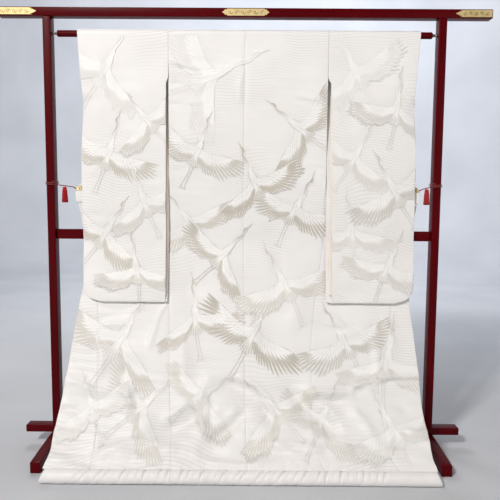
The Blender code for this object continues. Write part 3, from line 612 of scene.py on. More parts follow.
def liningMaterial(name, ground, dark):
    # plain-weave silk lining: even, soft and slightly warm, with a faint slub across
    material, tree, surface = newMaterial(name, **{"Roughness": 0.5, "Sheen Weight": 0.15, "Sheen Roughness": 0.4})
    uv = addNode(tree, "UVMap", {"uv_map": "UVMap"})
    slub = addNode(tree, "Mapping", values={"Scale": (14, 420, 1)}, links={"Vector": uv})
    grain = addNode(tree, "TexNoise", values={"Scale": 1.0, "Detail": 2.0}, links={"Vector": slub})
    cloud = addNode(tree, "TexNoise", values={"Scale": 4.0, "Detail": 2.0}, links={"Vector": uv})
    both = addNode(tree, "Math", {"operation": "MULTIPLY"}, links={0: grain, 1: cloud})
    colour = addNode(tree, "Mix", {"data_type": "RGBA"}, {6: linear(ground), 7: linear(dark)},
                     {0: both})
    bump = addNode(tree, "Bump", values={"Strength": 0.25, "Distance": 0.0005}, links={"Height": grain})
    link(tree, surface, {"Base Color": (colour, 2), "Normal": bump})
    return material


silkSatin = brocadeMaterial("silkSatinBrocade", brocade["ground"])
rollSatin = brocadeMaterial("silkSatinHemRoll", "#F5F3F1", 0.0)
liningSilk = liningMaterial("ivorySilkLining", "#F6ECE0", "#EBDBCA")
print("cloth finishes made")

# the garment's panels, one piece for each that is cut
panels = {"frontTop": 1.645, "okumiTop": 1.26, "liningTop": 1.56, "backLiningTop": 1.655, "collarTop": 1.61,
          "step": 0.006, "backStep": 0.0055, "liningStep": 0.009, "liningLowStep": 0.007, "waterSeed": 4}
bodyRows = heights(garment["hemSeam"], garment["rodHeight"])
overRod = garment["rodHeight"] + garment["wrap"] * np.radians([88, 80, 70, 60, 50, 40, 30, 20, 10])
words = {-1: "left", 1: "right"}
seam = garment["seam"]


def flatUv(x, t):
    return np.stack(np.broadcast_arrays(x, t), -1)


def waterAt(uv, seed=panels["waterSeed"]):
    return waterField(uv[..., 0], uv[..., 1], seed)


def bodyGrid(name, sideFrom, sideTo, rows, out, wall, material, step):
    # a panel of the flat sheet between two edges, each given as a function of height
    low, high = sideFrom(rows), sideTo(rows)
    x = low[:, None] + (high - low)[:, None] * shares(float(np.median(high - low)), step)
    uv = flatUv(x, rows[:, None])
    return gridPiece(name, bodyPoint(x, uv[..., 1], out), uv, material, wall, water=waterAt(uv))


def sideEdge(side, z):
    return side * (read(seams, "side" + letter(side), z) - seam)


backRows = np.concatenate([overRod, bodyRows])
for side, word in words.items():
    ends = [lambda z, s=side: sideEdge(s, z), lambda z, s=side: read(seams, "middle", z) + s * seam][::-side]
    piece = bodyGrid("back_cloth_" + word, *ends, backRows, 0.0, garment["wall"], silkSatin, panels["backStep"])
    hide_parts("back_" + word, "shoulder_" + word)

liningRows = heights(garment["hemSeam"], panels["backLiningTop"], panels["liningStep"], panels["liningLowStep"])
backLining = bodyGrid("back_lining_silk", lambda z: sideEdge(-1, z), lambda z: sideEdge(1, z),
                      np.concatenate([overRod[::3], liningRows]), liningOut, garment["liningWall"], liningSilk,
                      panels["liningStep"])
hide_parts("lining_back")
print("back made")


def frontWidth(side, z):
    mark = letter(side)
    lower = read(seams, "okumi" + mark, z) - read(seams, "side" + mark, z)
    return np.where(z >= garment["pleatEnd"], read(pleat, "front", z), lower) - 2 * seam


def okumiSpan(side, z):
    mark = letter(side)
    edge = read(seams, "side" + mark, z)
    start = np.where(z >= garment["pleatEnd"], read(pleat, "front", z), read(seams, "okumi" + mark, z) - edge)
    end = np.where(z >= garment["pleatEnd"], read(pleat, "okumi", z), read(seams, "edge" + mark, z) - edge)
    return start, end - seam


def spreadGrid(name, side, rows, start, end, out, wall, material, step=panels["step"], above=None):
    # a panel measured from the side seam; above holds the points and uv of its rows over the rod
    along = start[:, None] + (end - start)[:, None] * shares(float(np.median(end - start)), step)
    z = np.broadcast_to(rows[:, None], along.shape)
    points = spreadPoint(side, z, along, out)
    uv = flatUv(side * (read(seams, "side" + letter(side), z) + along), z)
    if above:
        points, uv = np.concatenate([above[0], points]), np.concatenate([above[1], uv])
    return gridPiece(name, points, uv, material, wall, water=waterAt(uv))


def shoulderRows(side, width):
    # the shoulder runs over the rod from its top to its rear
    top, wrap = garment["rodHeight"], garment["wrap"]
    turns = np.radians([92, 102, 112, 122, 134, 146, 158, 169, 180])[:, None]
    reach = float(frontWidth(side, top)) * shares(float(np.median(width)), panels["step"])
    x = side * (float(read(seams, "side" + letter(side), top)) + seam - reach)
    over = np.broadcast_arrays(x, garment["shift"] - wrap * np.cos(turns), top + wrap * np.sin(turns))
    return np.stack(over, -1), flatUv(x, top + wrap * (np.pi - turns))


for side, word in words.items():
    rows = heights(garment["hemSeam"], panels["frontTop"], 0.0065)
    width = frontWidth(side, rows)
    piece = spreadGrid("front_cloth_" + word, side, rows, 0 * width, width, 0.0, garment["wall"], silkSatin,
                       above=shoulderRows(side, width))
    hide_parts("front_" + word)
    rows = heights(garment["hemSeam"], panels["okumiTop"], panels["step"])
    piece = spreadGrid("overlap_cloth_" + word, side, rows, *okumiSpan(side, rows), 0.0, garment["wall"], silkSatin)
    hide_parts("okumi_" + word)
    # the lining starts inside the pleat and ends just short of the cloth's edge
    rows = heights(garment["hemSeam"], panels["liningTop"], panels["liningStep"], panels["liningLowStep"])
    start, end = okumiSpan(side, rows)
    end = np.where(rows < panels["okumiTop"], end, frontWidth(side, rows))
    end = np.maximum(end - 0.001, start + 0.001)
    begin = (read(pleat, "fold", rows) + garment["turn"]) * np.clip((rows - garment["pleatEnd"]) / 0.03, 0, 1)
    piece = spreadGrid("front_lining_silk_" + word, side, rows, begin, end, liningOut, garment["liningWall"],
                       liningSilk, panels["liningStep"])
    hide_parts("lining_front_" + word)
    rows = heights(garment["collarEnd"], panels["collarTop"], panels["step"])
    start = np.maximum(read(pleat, "okumi", rows), read(pleat, "front", rows)) + seam
    start = start + 0.0025 * (rows >= garment["overlapTop"])
    piece = spreadGrid("collar_cloth_" + word, side, rows, start, read(pleat, "collar", rows), 0.0,
                       garment["collarWall"], silkSatin)
    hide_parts("collar_" + word)

# the collar's neck runs over the rod between the fronts: turn and thickness over it, then height and spread below
neckCollar = {"left": -0.0933, "right": 0.1243, "columns": 37, "long": 0.09,
              "over": ((89.5, 0.0), (100, 0.0003), (110, 0.0006), (120, 0.0008), (135, 0.0012), (150, 0.0016),
                       (165, 0.0020), (180, 0.0023)),
              "below": ((1.652, 0), (1.645, 0), (1.637, 0.003), (1.628, 0.008), (1.62, 0.011), (1.609, 0.014),
                        (1.598, 0.017))}


def neckRing(wider, y, z):
    x = np.linspace(neckCollar["left"] - wider, neckCollar["right"] + wider, neckCollar["columns"])
    return np.stack(np.broadcast_arrays(x, y + garment["shift"], z), -1)


rings = []
for angle, out in neckCollar["over"]:
    radius, turn = garment["wrap"] + out, math.radians(angle)
    rings.append(neckRing(0, -radius * math.cos(turn), garment["rodHeight"] + radius * math.sin(turn)))
for z, wider in neckCollar["below"]:
    inside = (garment["wall"] + garment["collarWall"]) / 2 + garment["gap"]
    rings.append(neckRing(wider, float(read(layers, "frontIn", z)) + inside, z))
points = np.array(rings)
uv = flatUv(points[..., 0], np.linspace(0, neckCollar["long"], len(rings))[:, None])
neckPiece = gridPiece("collar_cloth_neck", points, uv, silkSatin, garment["collarWall"], water=0 * points[..., 0])
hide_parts("collar_neck")
print("fronts and collar made")

# sleeves: one folded bag each, open at the cuff above and on its inner side
sleeve = {"fineTo": 0.70, "fineRows": 19, "rows": 145, "overRows": 14, "step": 0.0063, "wide": 0.33, "uvStart": 0.30,
          "waterSeeds": {-1: 7, 1: 9}, "liningFrom": 0.642, "liningRows": 92, "liningShares": {-1: 0.0, 1: 0.035},
          "liningReach": 0.20, "edgeRadius": 0.0021, "edgeStep": 0.004}
sleeveRows = np.unique(np.concatenate([np.linspace(garment["sleeveEnd"], sleeve["fineTo"], sleeve["fineRows"]),
                                       np.linspace(sleeve["fineTo"], garment["rodHeight"], sleeve["rows"])]))
topArc = math.pi * garment["wrap"]


def rearT(z):
    # a height on the rear layer, as sleevePoint counts it
    return 2 * garment["rodHeight"] + topArc - z


def fixNormals(piece):
    shape = bmesh.new()
    shape.from_mesh(piece.data)
    bmesh.ops.recalc_face_normals(shape, faces=shape.faces)
    shape.to_mesh(piece.data)
    shape.free()


def tubePiece(name, path, radius, material, sides=8):
    # a round strand along a path, its length along v; the radius may differ at each point, and at each side
    path, radius = np.array(path, float), np.asarray(radius, float)
    radius = np.broadcast_to(radius if radius.ndim == 2 else radius.reshape(-1, 1), (len(path), sides))
    ahead = aheadOf(path)
    up = np.array([0.0, 0.0, 1.0]) if abs(ahead[0, 2]) < 0.9 else np.array([1.0, 0.0, 0.0])
    turn = 2 * np.pi * np.arange(sides) / sides
    rings = []
    for p, a, r in zip(path, ahead, radius):
        up = up - a * up.dot(a)
        up /= np.linalg.norm(up)
        across = np.cross(a, up)
        rings.append(p + r[:, None] * (np.cos(turn)[:, None] * up + np.sin(turn)[:, None] * across))
    uv = flatUv(np.arange(sides)[None, :] / sides, runAlong(path)[:, None])
    piece = gridPiece(name, np.array(rings), uv, material, closedRound=True)
    fixNormals(piece)
    return piece


def betweenLayers(side, share, z):
    return (sleevePoint(side, share, z) + sleevePoint(side, share, rearT(z))) / 2


sleeveT = np.concatenate([sleeveRows, garment["rodHeight"] + topArc * np.linspace(0.06, 0.94, sleeve["overRows"]),
                          rearT(sleeveRows[::-1])])[:, None]
part = shares(sleeve["wide"], sleeve["step"])
for side, word in words.items():
    uv = flatUv(side * (sleeve["uvStart"] + sleeve["wide"] * part), sleeveT)
    piece = gridPiece("sleeve_cloth_" + word, sleevePoint(side, part, sleeveT), uv, silkSatin, garment["wall"],
                      water=waterAt(uv, sleeve["waterSeeds"][side]))
    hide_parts("sleeve_" + word)
    # the lining that shows along the open inner side, on the rear layer's inner face
    rows = np.linspace(sleeve["liningFrom"], garment["cuff"], sleeve["liningRows"])[:, None]
    narrow = np.linspace(sleeve["liningShares"][side], sleeve["liningReach"], 8)
    inward = -(garment["wall"] / 2 + garment["liningWall"] / 2 + 0.0002)
    uv = flatUv(side * sleeve["uvStart"] + narrow * sleeve["wide"], rows)
    piece = gridPiece("sleeve_lining_silk_" + word, sleevePoint(side, narrow, rearT(rows), inward), uv, liningSilk,
                      garment["liningWall"])
    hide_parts("sleeve_lining_" + word)
    # closed edge along the outer side below the cuff, round the corner and along the bottom
    down = np.linspace(garment["cuff"] - 0.012, garment["sleeveEnd"] + 0.0005, 150)
    path = np.concatenate([betweenLayers(side, 1.0, down),
                           betweenLayers(side, np.linspace(0.99, 0.0, 60), garment["sleeveEnd"])])
    keep = [0]
    for i in range(1, len(path)):
        if np.linalg.norm(path[i] - path[keep[-1]]) > sleeve["edgeStep"]:
            keep.append(i)
    radius = sleeve["edgeRadius"] * (1 + 0.05 * np.sin(np.arange(len(keep)) * 0.9))
    piece = tubePiece("sleeve_edge_fold_" + word, path[keep], radius, rollSatin, 10)
print("sleeves made")

# padded hem roll, flattened where it lies on the floor, with its gathers
hemRoll = {"middle": -0.3545, "high": 0.0263, "deep": 0.0262, "left": -0.732, "right": 0.732, "sides": 40,
           "step": 0.0022, "around": 0.027, "topGather": 0.28, "faceGather": 0.20, "lowGather": 0.06,
           "lean": 0.023}


def rollPoint(x, turn):
    # turn: 0 is away from the viewer, a quarter is the top, a half faces the viewer
    x, turn = np.broadcast_arrays(np.asarray(x, float), np.asarray(turn, float))
    top = np.exp(-((turn - 0.52 * np.pi) / 0.75) ** 2)
    low = np.exp(-((turn - 1.25 * np.pi) / 0.45) ** 2)
    slant = (0.009 + 0.006 * np.sin(x * 9.0 + 1.0)) * (turn - np.pi / 2)
    face = np.exp(-((turn - 0.80 * np.pi) / 0.70) ** 2)
    size = 1 - hemRoll["topGather"] * gatherDip(x + slant, 0.0040) * top
    size = size - hemRoll["faceGather"] * gatherDip(x + slant, 0.0038) * face
    size = size - hemRoll["lowGather"] * gatherDip(x + 0.012 + slant, 0.006) * low
    size = size + 0.018 * billow(x, turn * 0.03, 0.07, 21)
    fromEnd = np.minimum(x - hemRoll["left"], hemRoll["right"] - x)
    end = np.clip(fromEnd / 0.014, 0.0, 1.0)
    size = size * (0.70 + 0.30 * np.sqrt(1 - (1 - end) ** 2))
    y = hemRoll["middle"] + hemRoll["deep"] * size * np.cos(turn)
    z = hemRoll["high"] * (0.985 + size * np.sin(turn))
    z = np.where(z < 0.0006, 0.0006 + 0.0002 * np.sin(60 * x), z)
    # the ends slope with the skirt's edges and are pressed to a corner on the floor
    x = x - np.sign(x) * hemRoll["lean"] * np.exp(-fromEnd / 0.05) * z / (2 * hemRoll["high"])
    return np.stack([x, y + garment["shift"], z], -1)


turn = 2 * np.pi * np.arange(hemRoll["sides"]) / hemRoll["sides"]
cuts = [side * float(read(seams, "side" + letter(side), garment["hemSeam"])) for side in words]
nearEnd = np.array([0.0008, 0.002, 0.0045])
for name, start, stop in (("left", hemRoll["left"], cuts[0] - seam), ("back", cuts[0] + seam, cuts[1] - seam),
                          ("right", cuts[1] + seam, hemRoll["right"])):
    x = np.linspace(start, stop, int((stop - start) / hemRoll["step"]))
    if name != "back":
        x = np.unique(np.concatenate([x, start + nearEnd if name == "left" else stop - nearEnd]))
    points = rollPoint(x[:, None], turn)
    uv = flatUv(x[:, None], hemRoll["around"] * turn)
    piece = gridPiece("hem_roll_wadded_" + name, points, uv, rollSatin, closedRound=True, water=0 * points[..., 0])
    fixNormals(piece)
    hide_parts("hem_roll_" + name)
print("hem roll made")

# woven figures: flying cranes of a general kind, each feather its own float of thread
feather = {"white": "#F5F4F1", "silver": "#B3B0A8", "beige": "#B9AD94", "barb": 0.0032, "lift": 0.0009,
           "layer": 0.00013, "level": 0.0010}
# rows of feathers on a wing: how many, how far they reach, how wide, how grey
wingRows = ((18, 1.0, 0.067, 1.0), (14, 0.54, 0.058, 0.75), (11, 0.31, 0.052, 0.5), (8, 0.17, 0.046, 0.4))
figureLimits = {"low": 0.058, "high": 1.652, "split": 0.97, "sleeveLow": 0.6185, "sleeveHigh": 1.650}


def featherMaterial():
    # thick lustrous weft floats over the satin: grey to beige webs with pale rims, and outlined white coverts
    material, tree, surface = newMaterial("figuredSilkFloats", **{"Sheen Weight": 0.08, "Sheen Roughness": 0.35,
                                                                  "Specular IOR Level": 0.6})
    shade = addNode(tree, "Attribute", {"attribute_name": "shade"})
    warm = addNode(tree, "Attribute", {"attribute_name": "warm"})
    rim = addNode(tree, "Attribute", {"attribute_name": "rim"})
    outlined = addNode(tree, "Attribute", {"attribute_name": "outlined"})
    uv = addNode(tree, "UVMap", {"uv_map": "UVMap"})
    parts = addNode(tree, "SeparateXYZ", links={"Vector": uv})
    side = addNode(tree, "Math", {"operation": "ABSOLUTE"}, links={0: parts})
    slant = addNode(tree, "Math", {"operation": "MULTIPLY_ADD"}, {1: -1.1}, {0: side, 2: (parts, "Y")})
    # barbs are threads about 0.5 mm apart; drawn 3 mm apart so that they show
    pace = addNode(tree, "Math", {"operation": "MULTIPLY"}, {1: 2 * math.pi / feather["barb"]}, {0: slant})
    barb = addNode(tree, "Math", {"operation": "SINE"}, links={0: pace})
    web = addNode(tree, "Mix", {"data_type": "RGBA"}, {6: linear(feather["silver"]), 7: linear(feather["beige"])},
                  {0: (warm, "Fac")})
    inside = addNode(tree, "MapRange", {"interpolation_type": "SMOOTHSTEP"},
                     {"From Min": 0.50, "From Max": 0.78, "To Min": 1.0, "To Max": 0.0}, {"Value": (rim, "Fac")})
    around = addNode(tree, "MapRange", {"interpolation_type": "SMOOTHSTEP"},
                     {"From Min": 0.45, "From Max": 0.80}, {"Value": (rim, "Fac")})
    drawn = addNode(tree, "Mix", {"data_type": "FLOAT"},
                    links={0: (outlined, "Fac"), 2: inside, 3: around})
    streak = addNode(tree, "Math", {"operation": "MULTIPLY_ADD"}, {1: 0.08, 2: 0.92}, {0: barb})
    much = addNode(tree, "Math", {"operation": "MULTIPLY"}, links={0: drawn, 1: streak})
    factor = addNode(tree, "Math", {"operation": "MULTIPLY", "use_clamp": True},
                     links={0: much, 1: (shade, "Fac")})
    colour = addNode(tree, "Mix", {"data_type": "RGBA"}, {6: linear(feather["white"])},
                     {0: factor, 7: (web, 2)})
    high = addNode(tree, "Math", {"operation": "MULTIPLY_ADD"}, {1: 0.25}, {0: barb, 2: inside})
    bump = addNode(tree, "Bump", values={"Strength": 0.5, "Distance": 0.0008}, links={"Height": high})
    gloss = addNode(tree, "MapRange", values={"To Min": 0.46, "To Max": 0.32}, links={"Value": (rim, "Fac")})
    link(tree, surface, {"Base Color": (colour, 2), "Normal": bump, "Roughness": gloss})
    return material


figuredSilk = featherMaterial()


class FigureSheet:
    # collects the figures of one panel in flat cloth coordinates, then lays them on its surface
    def __init__(self):
        self.spots, self.faces, self.uv, self.values = [], [], [], []
        self.base, self.cranes = 0.0, 0

    def strip(self, line, halfWidth, layer, shade, warm, outlined=0.0, fadeIn=False):
        # a feather, neck or leg: three points across at each station of its middle line
        line = np.array(line)
        ahead = aheadOf(line)
        normal = np.stack([-ahead[:, 1], ahead[:, 0]], 1)
        first = len(self.spots)
        columns = (-1, -0.5, 0, 0.5, 1) if max(halfWidth) > 0.0045 else (-1, 0, 1)
        for i, (p, n, w, length) in enumerate(zip(line, normal, halfWidth, runAlong(line))):
            v = i / (len(line) - 1)
            tone = shade * (0.12 + 0.88 * min(1, 1.6 * v) ** 1.2) if fadeIn else shade
            for u in columns:
                spot = p + n * w * u
                self.spots.append((spot[0], spot[1], self.base + layer + 0.00010 * (1 - abs(u))))
                self.uv.append((u * w, length))
                self.values.append((tone, warm, abs(u), outlined))
        across = len(columns)
        for i in range(len(line) - 1):
            for k in range(across - 1):
                a = first + across * i + k
                self.faces.append((a, a + 1, a + across + 1, a + across))

    def petal(self, root, angle, length, width, layer, shade, warm, curl=0.0, outlined=0.0):
        count = max(4, int(length / (0.0065 if root[1] < 0.45 else 0.0085)))
        v = np.linspace(0, 1, count + 1)
        heading = angle + curl * v
        step = length / count
        steps = np.stack([np.cos(heading[:-1]), np.sin(heading[:-1])], 1) * step
        line = np.array(root) + np.concatenate([[[0, 0]], np.cumsum(steps, axis=0)])
        blunt = 1.03 - np.clip((v - 0.62) / 0.38, 0, 1) ** 2.4
        half = width / 2 * np.minimum(1, 0.40 + 1.1 * v) * blunt
        self.strip(line, half, layer, shade, warm, outlined, not outlined)

    def crane(self, x, z, heading, size, flip, shade, warm, spreadOut):
        h, opened = math.radians(heading), 2.2 * spreadOut
        step = feather["layer"]
        # every second crane lies a little higher, so that neighbours never share a level
        self.base = feather["level"] * (self.cranes % 2)
        self.cranes += 1

        def at(a, b):
            return (x + size * (a * math.cos(h) - flip * b * math.sin(h)),
                    z + size * (a * math.sin(h) + flip * b * math.cos(h)))

        def toward(degrees):
            return h + flip * math.radians(degrees)

        def curve(points, count):
            a, b, c, d = (np.array(at(*q)) for q in points)
            t = np.linspace(0, 1, count)[:, None]
            return (1 - t) ** 3 * a + 3 * t * (1 - t) ** 2 * b + 3 * t * t * (1 - t) * c + t ** 3 * d

        for k, b in ((0, 0.022), (1, -0.024)):
            leg = curve([(-0.14, b), (-0.32, b * 1.7), (-0.50, b * 0.4 + 0.03), (-0.74, b * 1.6 + 0.06)], 16)
            self.strip(leg, np.full(16, 0.0076 * size) * np.linspace(1.3, 0.9, 16), k * step / 2, shade * 0.95, warm)
            for toe in (-30, 6, 36):
                self.petal(leg[-1], toward(185 + toe), 0.07 * size, 0.014 * size, step / 2, shade * 0.9, warm)
        for k in range(9):
            self.petal(at(-0.10, 0.010 * (4 - k)), toward(180 + (k - 4) * 9.5), size * (0.26 - 0.010 * abs(k - 4)),
                       0.046 * size, step * (1 + 0.1 * k), shade * 0.85, warm)
        wings = ((-1, -112 - opened, -176, -104 - 1.15 * opened, 2),
                 (1, 92 + 0.6 * opened, 170, 80 + 0.7 * opened, 8))
        for sign, arm, rootTurn, tipTurn, layer in wings:
            armTurn = math.radians(arm)
            upper, fore = armTurn + 0.5 * sign, armTurn - 0.1 * sign
            elbow = (0.10 + 0.15 * math.cos(upper), sign * 0.04 + 0.15 * math.sin(upper))
            wrist = (elbow[0] + 0.25 * math.cos(fore), elbow[1] + 0.25 * math.sin(fore))
            for row, (count, reach, wide, tone) in enumerate(wingRows):
                for k in range(count):
                    p = k / (count - 1)
                    t = min(1, p / 0.45)
                    anchor = (0.06 + (elbow[0] - 0.06) * t, sign * 0.03 + (elbow[1] - sign * 0.03) * t)
                    if p > 0.45:
                        t = (p - 0.45) / 0.55
                        anchor = (elbow[0] + (wrist[0] - elbow[0]) * t, elbow[1] + (wrist[1] - elbow[1]) * t)
                    turn = rootTurn + (tipTurn - rootTurn) * p ** 1.25
                    grown = 0.30 * math.sin(math.pi / 2 * min(1, p * 1.25)) ** 1.3
                    long = size * reach * (0.34 + grown - 0.10 * max(0, p - 0.8) / 0.2)
                    long *= 1 + 0.06 * math.sin(5 * k + row)
                    self.petal(at(*anchor), toward(turn), long, wide * size * (0.85 + 0.25 * p),
                               step * (layer + row * 1.2 + 0.055 * k), shade * tone, warm,
                               -0.22 * sign * flip * (1 - 0.6 * p), 0.0 if row == 0 else 1.0)
        body = curve([(-0.17, 0), (0.0, 0.03), (0.12, 0.02), (0.25, 0.0)], 12)
        belly = 0.080 * size * np.sin(np.pi * np.linspace(0.06, 0.97, 12)) ** 0.8
        self.strip(body, belly, step * 7.2, shade * 0.5, warm, 1.0)
        for k in range(12):
            turned = (-1) ** k
            self.petal(at(0.17 - 0.026 * k, 0.030 * turned * (1 - 0.04 * k)), toward(180 + 9 * turned), 0.085 * size,
                       0.045 * size, step * (7.6 + 0.08 * k), shade * 0.5, warm, 0.0, 1.0)
        neck = curve([(0.20, 0.0), (0.35, 0.085), (0.45, -0.055), (0.57, 0.010)], 20)
        self.strip(neck, size * np.linspace(0.046, 0.026, 20), step * 7.9, shade * 0.9, warm, 0.0, True)
        head = curve([(0.555, 0.004), (0.59, 0.034), (0.63, 0.034), (0.67, 0.014)], 9)
        self.strip(head, size * 0.044 * np.sin(np.pi * np.linspace(0.16, 0.88, 9)), step * 8.2, shade, warm)
        beak = curve([(0.66, 0.017), (0.70, 0.012), (0.75, 0.004), (0.80, -0.006)], 8)
        self.strip(beak, size * np.linspace(0.0120, 0.0040, 8), step * 8.4, shade * 1.1, warm)

    def lay(self, name, surface, limit):
        spots, values = np.array(self.spots), np.array(self.values)
        x, z, outside = limit(spots[:, 0], spots[:, 1])
        lift = feather["lift"] + 0.0004 * np.clip((0.30 - z) / 0.10, 0, 1)
        points = surface(x, z, garment["wall"] / 2 + lift + spots[:, 2])
        faces = [f for f in self.faces if not all(outside[i] for i in f)]
        mesh = bpy.data.meshes.new(name)
        mesh.from_pydata(points.tolist(), [], faces)
        for key, column in (("shade", 0), ("warm", 1), ("rim", 2), ("outlined", 3)):
            mesh.attributes.new(key, "FLOAT", "POINT").data.foreach_set("value", values[:, column].astype(np.float32))
        corner = np.array(faces).ravel()
        mesh.uv_layers.new(name="UVMap").data.foreach_set("uv", np.array(self.uv, np.float32)[corner].ravel())
        mesh.materials.append(figuredSilk)
        mesh.shade_smooth()
        piece = linkedPiece(name, mesh)
        shape = bmesh.new()
        shape.from_mesh(mesh)
        bmesh.ops.delete(shape, geom=[v for v in shape.verts if not v.link_faces], context="VERTS")
        shape.to_mesh(mesh)
        shape.free()
        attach(piece, "root")


# where the cranes fly: x, z, heading, size, which way up, strength of the grey, warmth of it
craneText = """
panel  x       z      heading  size   flip  shade  warm  spread
BL    -0.120  1.500     25     0.300   1    0.26   0.3    6
BR     0.215  1.300    140     0.215  -1    0.80   0.5    0
BL    -0.180  1.210     70     0.205   1    0.75   0.4   -8
BR     0.040  1.090    112     0.215  -1    0.88   0.6    4
BL    -0.215  0.935    128     0.200   1    0.62   0.7    0
BR     0.205  0.985     62     0.210  -1    0.85   0.5   -6
BL    -0.075  0.800     48     0.210   1    0.80   0.5    6
BR     0.165  0.690    118     0.230   1    0.55   0.6    0
BL    -0.190  0.560     96     0.215  -1    0.70   0.6    8
BR     0.045  0.500     66     0.250   1    0.92   0.4   -4
BL    -0.150  0.275     32     0.190  -1    0.45   0.6    0
BR     0.120  0.235    140     0.200   1    0.50   0.7    6
FL    -0.470  0.480     62     0.270   1    0.60   0.5    6
FL    -0.575  0.235    112     0.175  -1    0.34   0.3    0
FL    -0.375  0.235     40     0.210   1    0.55   0.5    0
FR     0.400  0.470    120     0.215   1    0.74   0.3   -4
FR     0.560  0.400     78     0.230  -1    0.46   0.4    6
FR     0.310  0.200     64     0.185   1    0.50   0.5    0
FR     0.570  0.170    118     0.185   1    0.36   0.3    0
SL    -0.540  1.530     62     0.245   1    0.34   0.3    6
SL    -0.385  1.330    128     0.185  -1    0.60   0.4    0
SL    -0.530  1.200     74     0.215   1    0.78   0.5   -6
SL    -0.395  1.010    110     0.200  -1    0.50   0.5    4
SL    -0.545  0.885     58     0.215   1    0.74   0.6    0
SL    -0.420  0.745    100     0.190   1    0.60   0.5    6
SR     0.430  1.520    118     0.225  -1    0.24   0.2    0
SR     0.600  1.380     84     0.205   1    0.52   0.3    6
SR     0.440  1.190     62     0.200   1    0.44   0.4    0
SR     0.590  1.060    118     0.225  -1    0.66   0.3   -6
SR     0.430  0.900     98     0.205   1    0.40   0.4    4
SR     0.570  0.760     66     0.200  -1    0.50   0.4    0
TL    -0.420  1.500    120     0.235  -1    0.40   0.3    0
TL    -0.550  1.260     70     0.205   1    0.75   0.5    6
TL    -0.400  1.060    108     0.215   1    0.66   0.5    0
TL    -0.540  0.830     60     0.215  -1    0.70   0.6   -4
TR     0.570  1.510     64     0.235   1    0.36   0.3    0
TR     0.430  1.290    112     0.205  -1    0.70   0.4    6
TR     0.585  1.080     76     0.215   1    0.66   0.5    0
TR     0.440  0.830    120     0.215  -1    0.62   0.5   -4
"""
flock = {}
for line in craneText.strip().splitlines()[1:]:
    panel, *numbers = line.split()
    flock.setdefault(panel, FigureSheet()).crane(*(float(number) for number in numbers))


def bodyLimit(x, z):
    # keeps figures off the edges; below the split the fronts and okumi carry them on
    high = z > figureLimits["split"]
    low = -np.where(high, read(seams, "sideL", z), read(seams, "edgeL", z)) + 0.002
    top = np.where(high, read(seams, "sideR", z), read(seams, "edgeR", z)) - 0.002
    zz = np.clip(z, figureLimits["low"], figureLimits["high"])
    return np.clip(x, low, top), zz, (x < low) | (x > top) | (z != zz)


def sleeveLimit(side):
    def limit(x, z):
        zz = np.clip(z, figureLimits["sleeveLow"], figureLimits["sleeveHigh"])
        inner = read(sleeveEdges, "inner" + letter(side), zz) + 0.002
        outer = read(sleeveEdges, "outer" + letter(side), zz) - 0.001
        away = np.clip(side * x, inner, outer)
        return side * away, zz, (side * x < inner) | (side * x > outer) | (z != zz)
    return limit


def sleeveSurface(side, rear):
    def surface(x, z, out):
        inner, outer = sleeveInner(side, z, rear), read(sleeveEdges, "outer" + letter(side), z)
        share = (side * x - inner) / (outer - inner)
        return sleevePoint(side, np.clip(share, 0, 1), rearT(z) if rear else z, out)
    return surface


for panel, sheet in flock.items():
    side = -1 if panel[1] == "L" else 1
    if panel[0] in "BF":
        sheet.lay("woven_cranes_" + panel, bodyPoint, bodyLimit)
    else:
        sheet.lay("woven_cranes_" + panel, sleeveSurface(side, panel[0] == "T"), sleeveLimit(side))
print("figures woven:", sum(len(sheet.faces) for sheet in flock.values()), "faces")

# the stand: turned and planed hardwood under many coats of polished red lacquer
lacquer = {"deep": "#440106", "lit": "#5C030A", "rough": 0.32}


def lacquerMaterial():
    # urushi: a deep glassy coat over a softer base, with faint orange peel and rubbed dust in it
    material, tree, surface = newMaterial("redUrushiLacquer", **{"Coat Weight": 0.05, "Coat Roughness": 0.06,
                                                                 "Specular IOR Level": 0.05})
    place = addNode(tree, "TexCoord")
    cloud = addNode(tree, "TexNoise", values={"Scale": 3.0, "Detail": 4.0}, links={"Vector": (place, "Object")})
    colour = addNode(tree, "Mix", {"data_type": "RGBA"}, {6: linear(lacquer["deep"]), 7: linear(lacquer["lit"])},
                     {0: cloud})
    peel = addNode(tree, "TexNoise", values={"Scale": 160.0, "Detail": 1.0}, links={"Vector": (place, "Object")})
    bump = addNode(tree, "Bump", values={"Strength": 0.05, "Distance": 0.0006}, links={"Height": peel})
    rub = addNode(tree, "TexNoise", values={"Scale": 22.0, "Detail": 5.0}, links={"Vector": (place, "Object")})
    gloss = addNode(tree, "MapRange", values={"To Min": lacquer["rough"] - 0.06, "To Max": lacquer["rough"] + 0.10},
                    links={"Value": rub})
    link(tree, surface, {"Base Color": (colour, 2), "Normal": bump, "Roughness": gloss})
    return material


urushi = lacquerMaterial()

wood = {"round": 0.0024, "middleRound": 0.0014, "postRound": 0.0030, "rodRound": 0.003, "pegRound": 0.0009,
        "segments": 4, "footCuts": 24, "footTip": 0.042, "footMiddle": 0.055, "rodSides": 56, "postX": 0.7675,
        "pegRadius": 0.0042, "pegHeight": 0.8755, "pegFace": 0.0247}


def boxOf(node):
    return (Vector(corner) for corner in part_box(node))


def makeActive(piece):
    bpy.ops.object.select_all(action="DESELECT")
    piece.select_set(True)
    bpy.context.view_layer.objects.active = piece


def finishRigid(piece, material, node):
    piece.data.materials.clear()
    piece.data.materials.append(material)
    makeActive(piece)
    bpy.ops.object.transform_apply(location=True, rotation=True, scale=True)
    bpy.ops.object.shade_smooth_by_angle(angle=math.radians(35))
    bpy.ops.object.select_all(action="DESELECT")
    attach(piece, "root")
    if node:
        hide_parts(node)


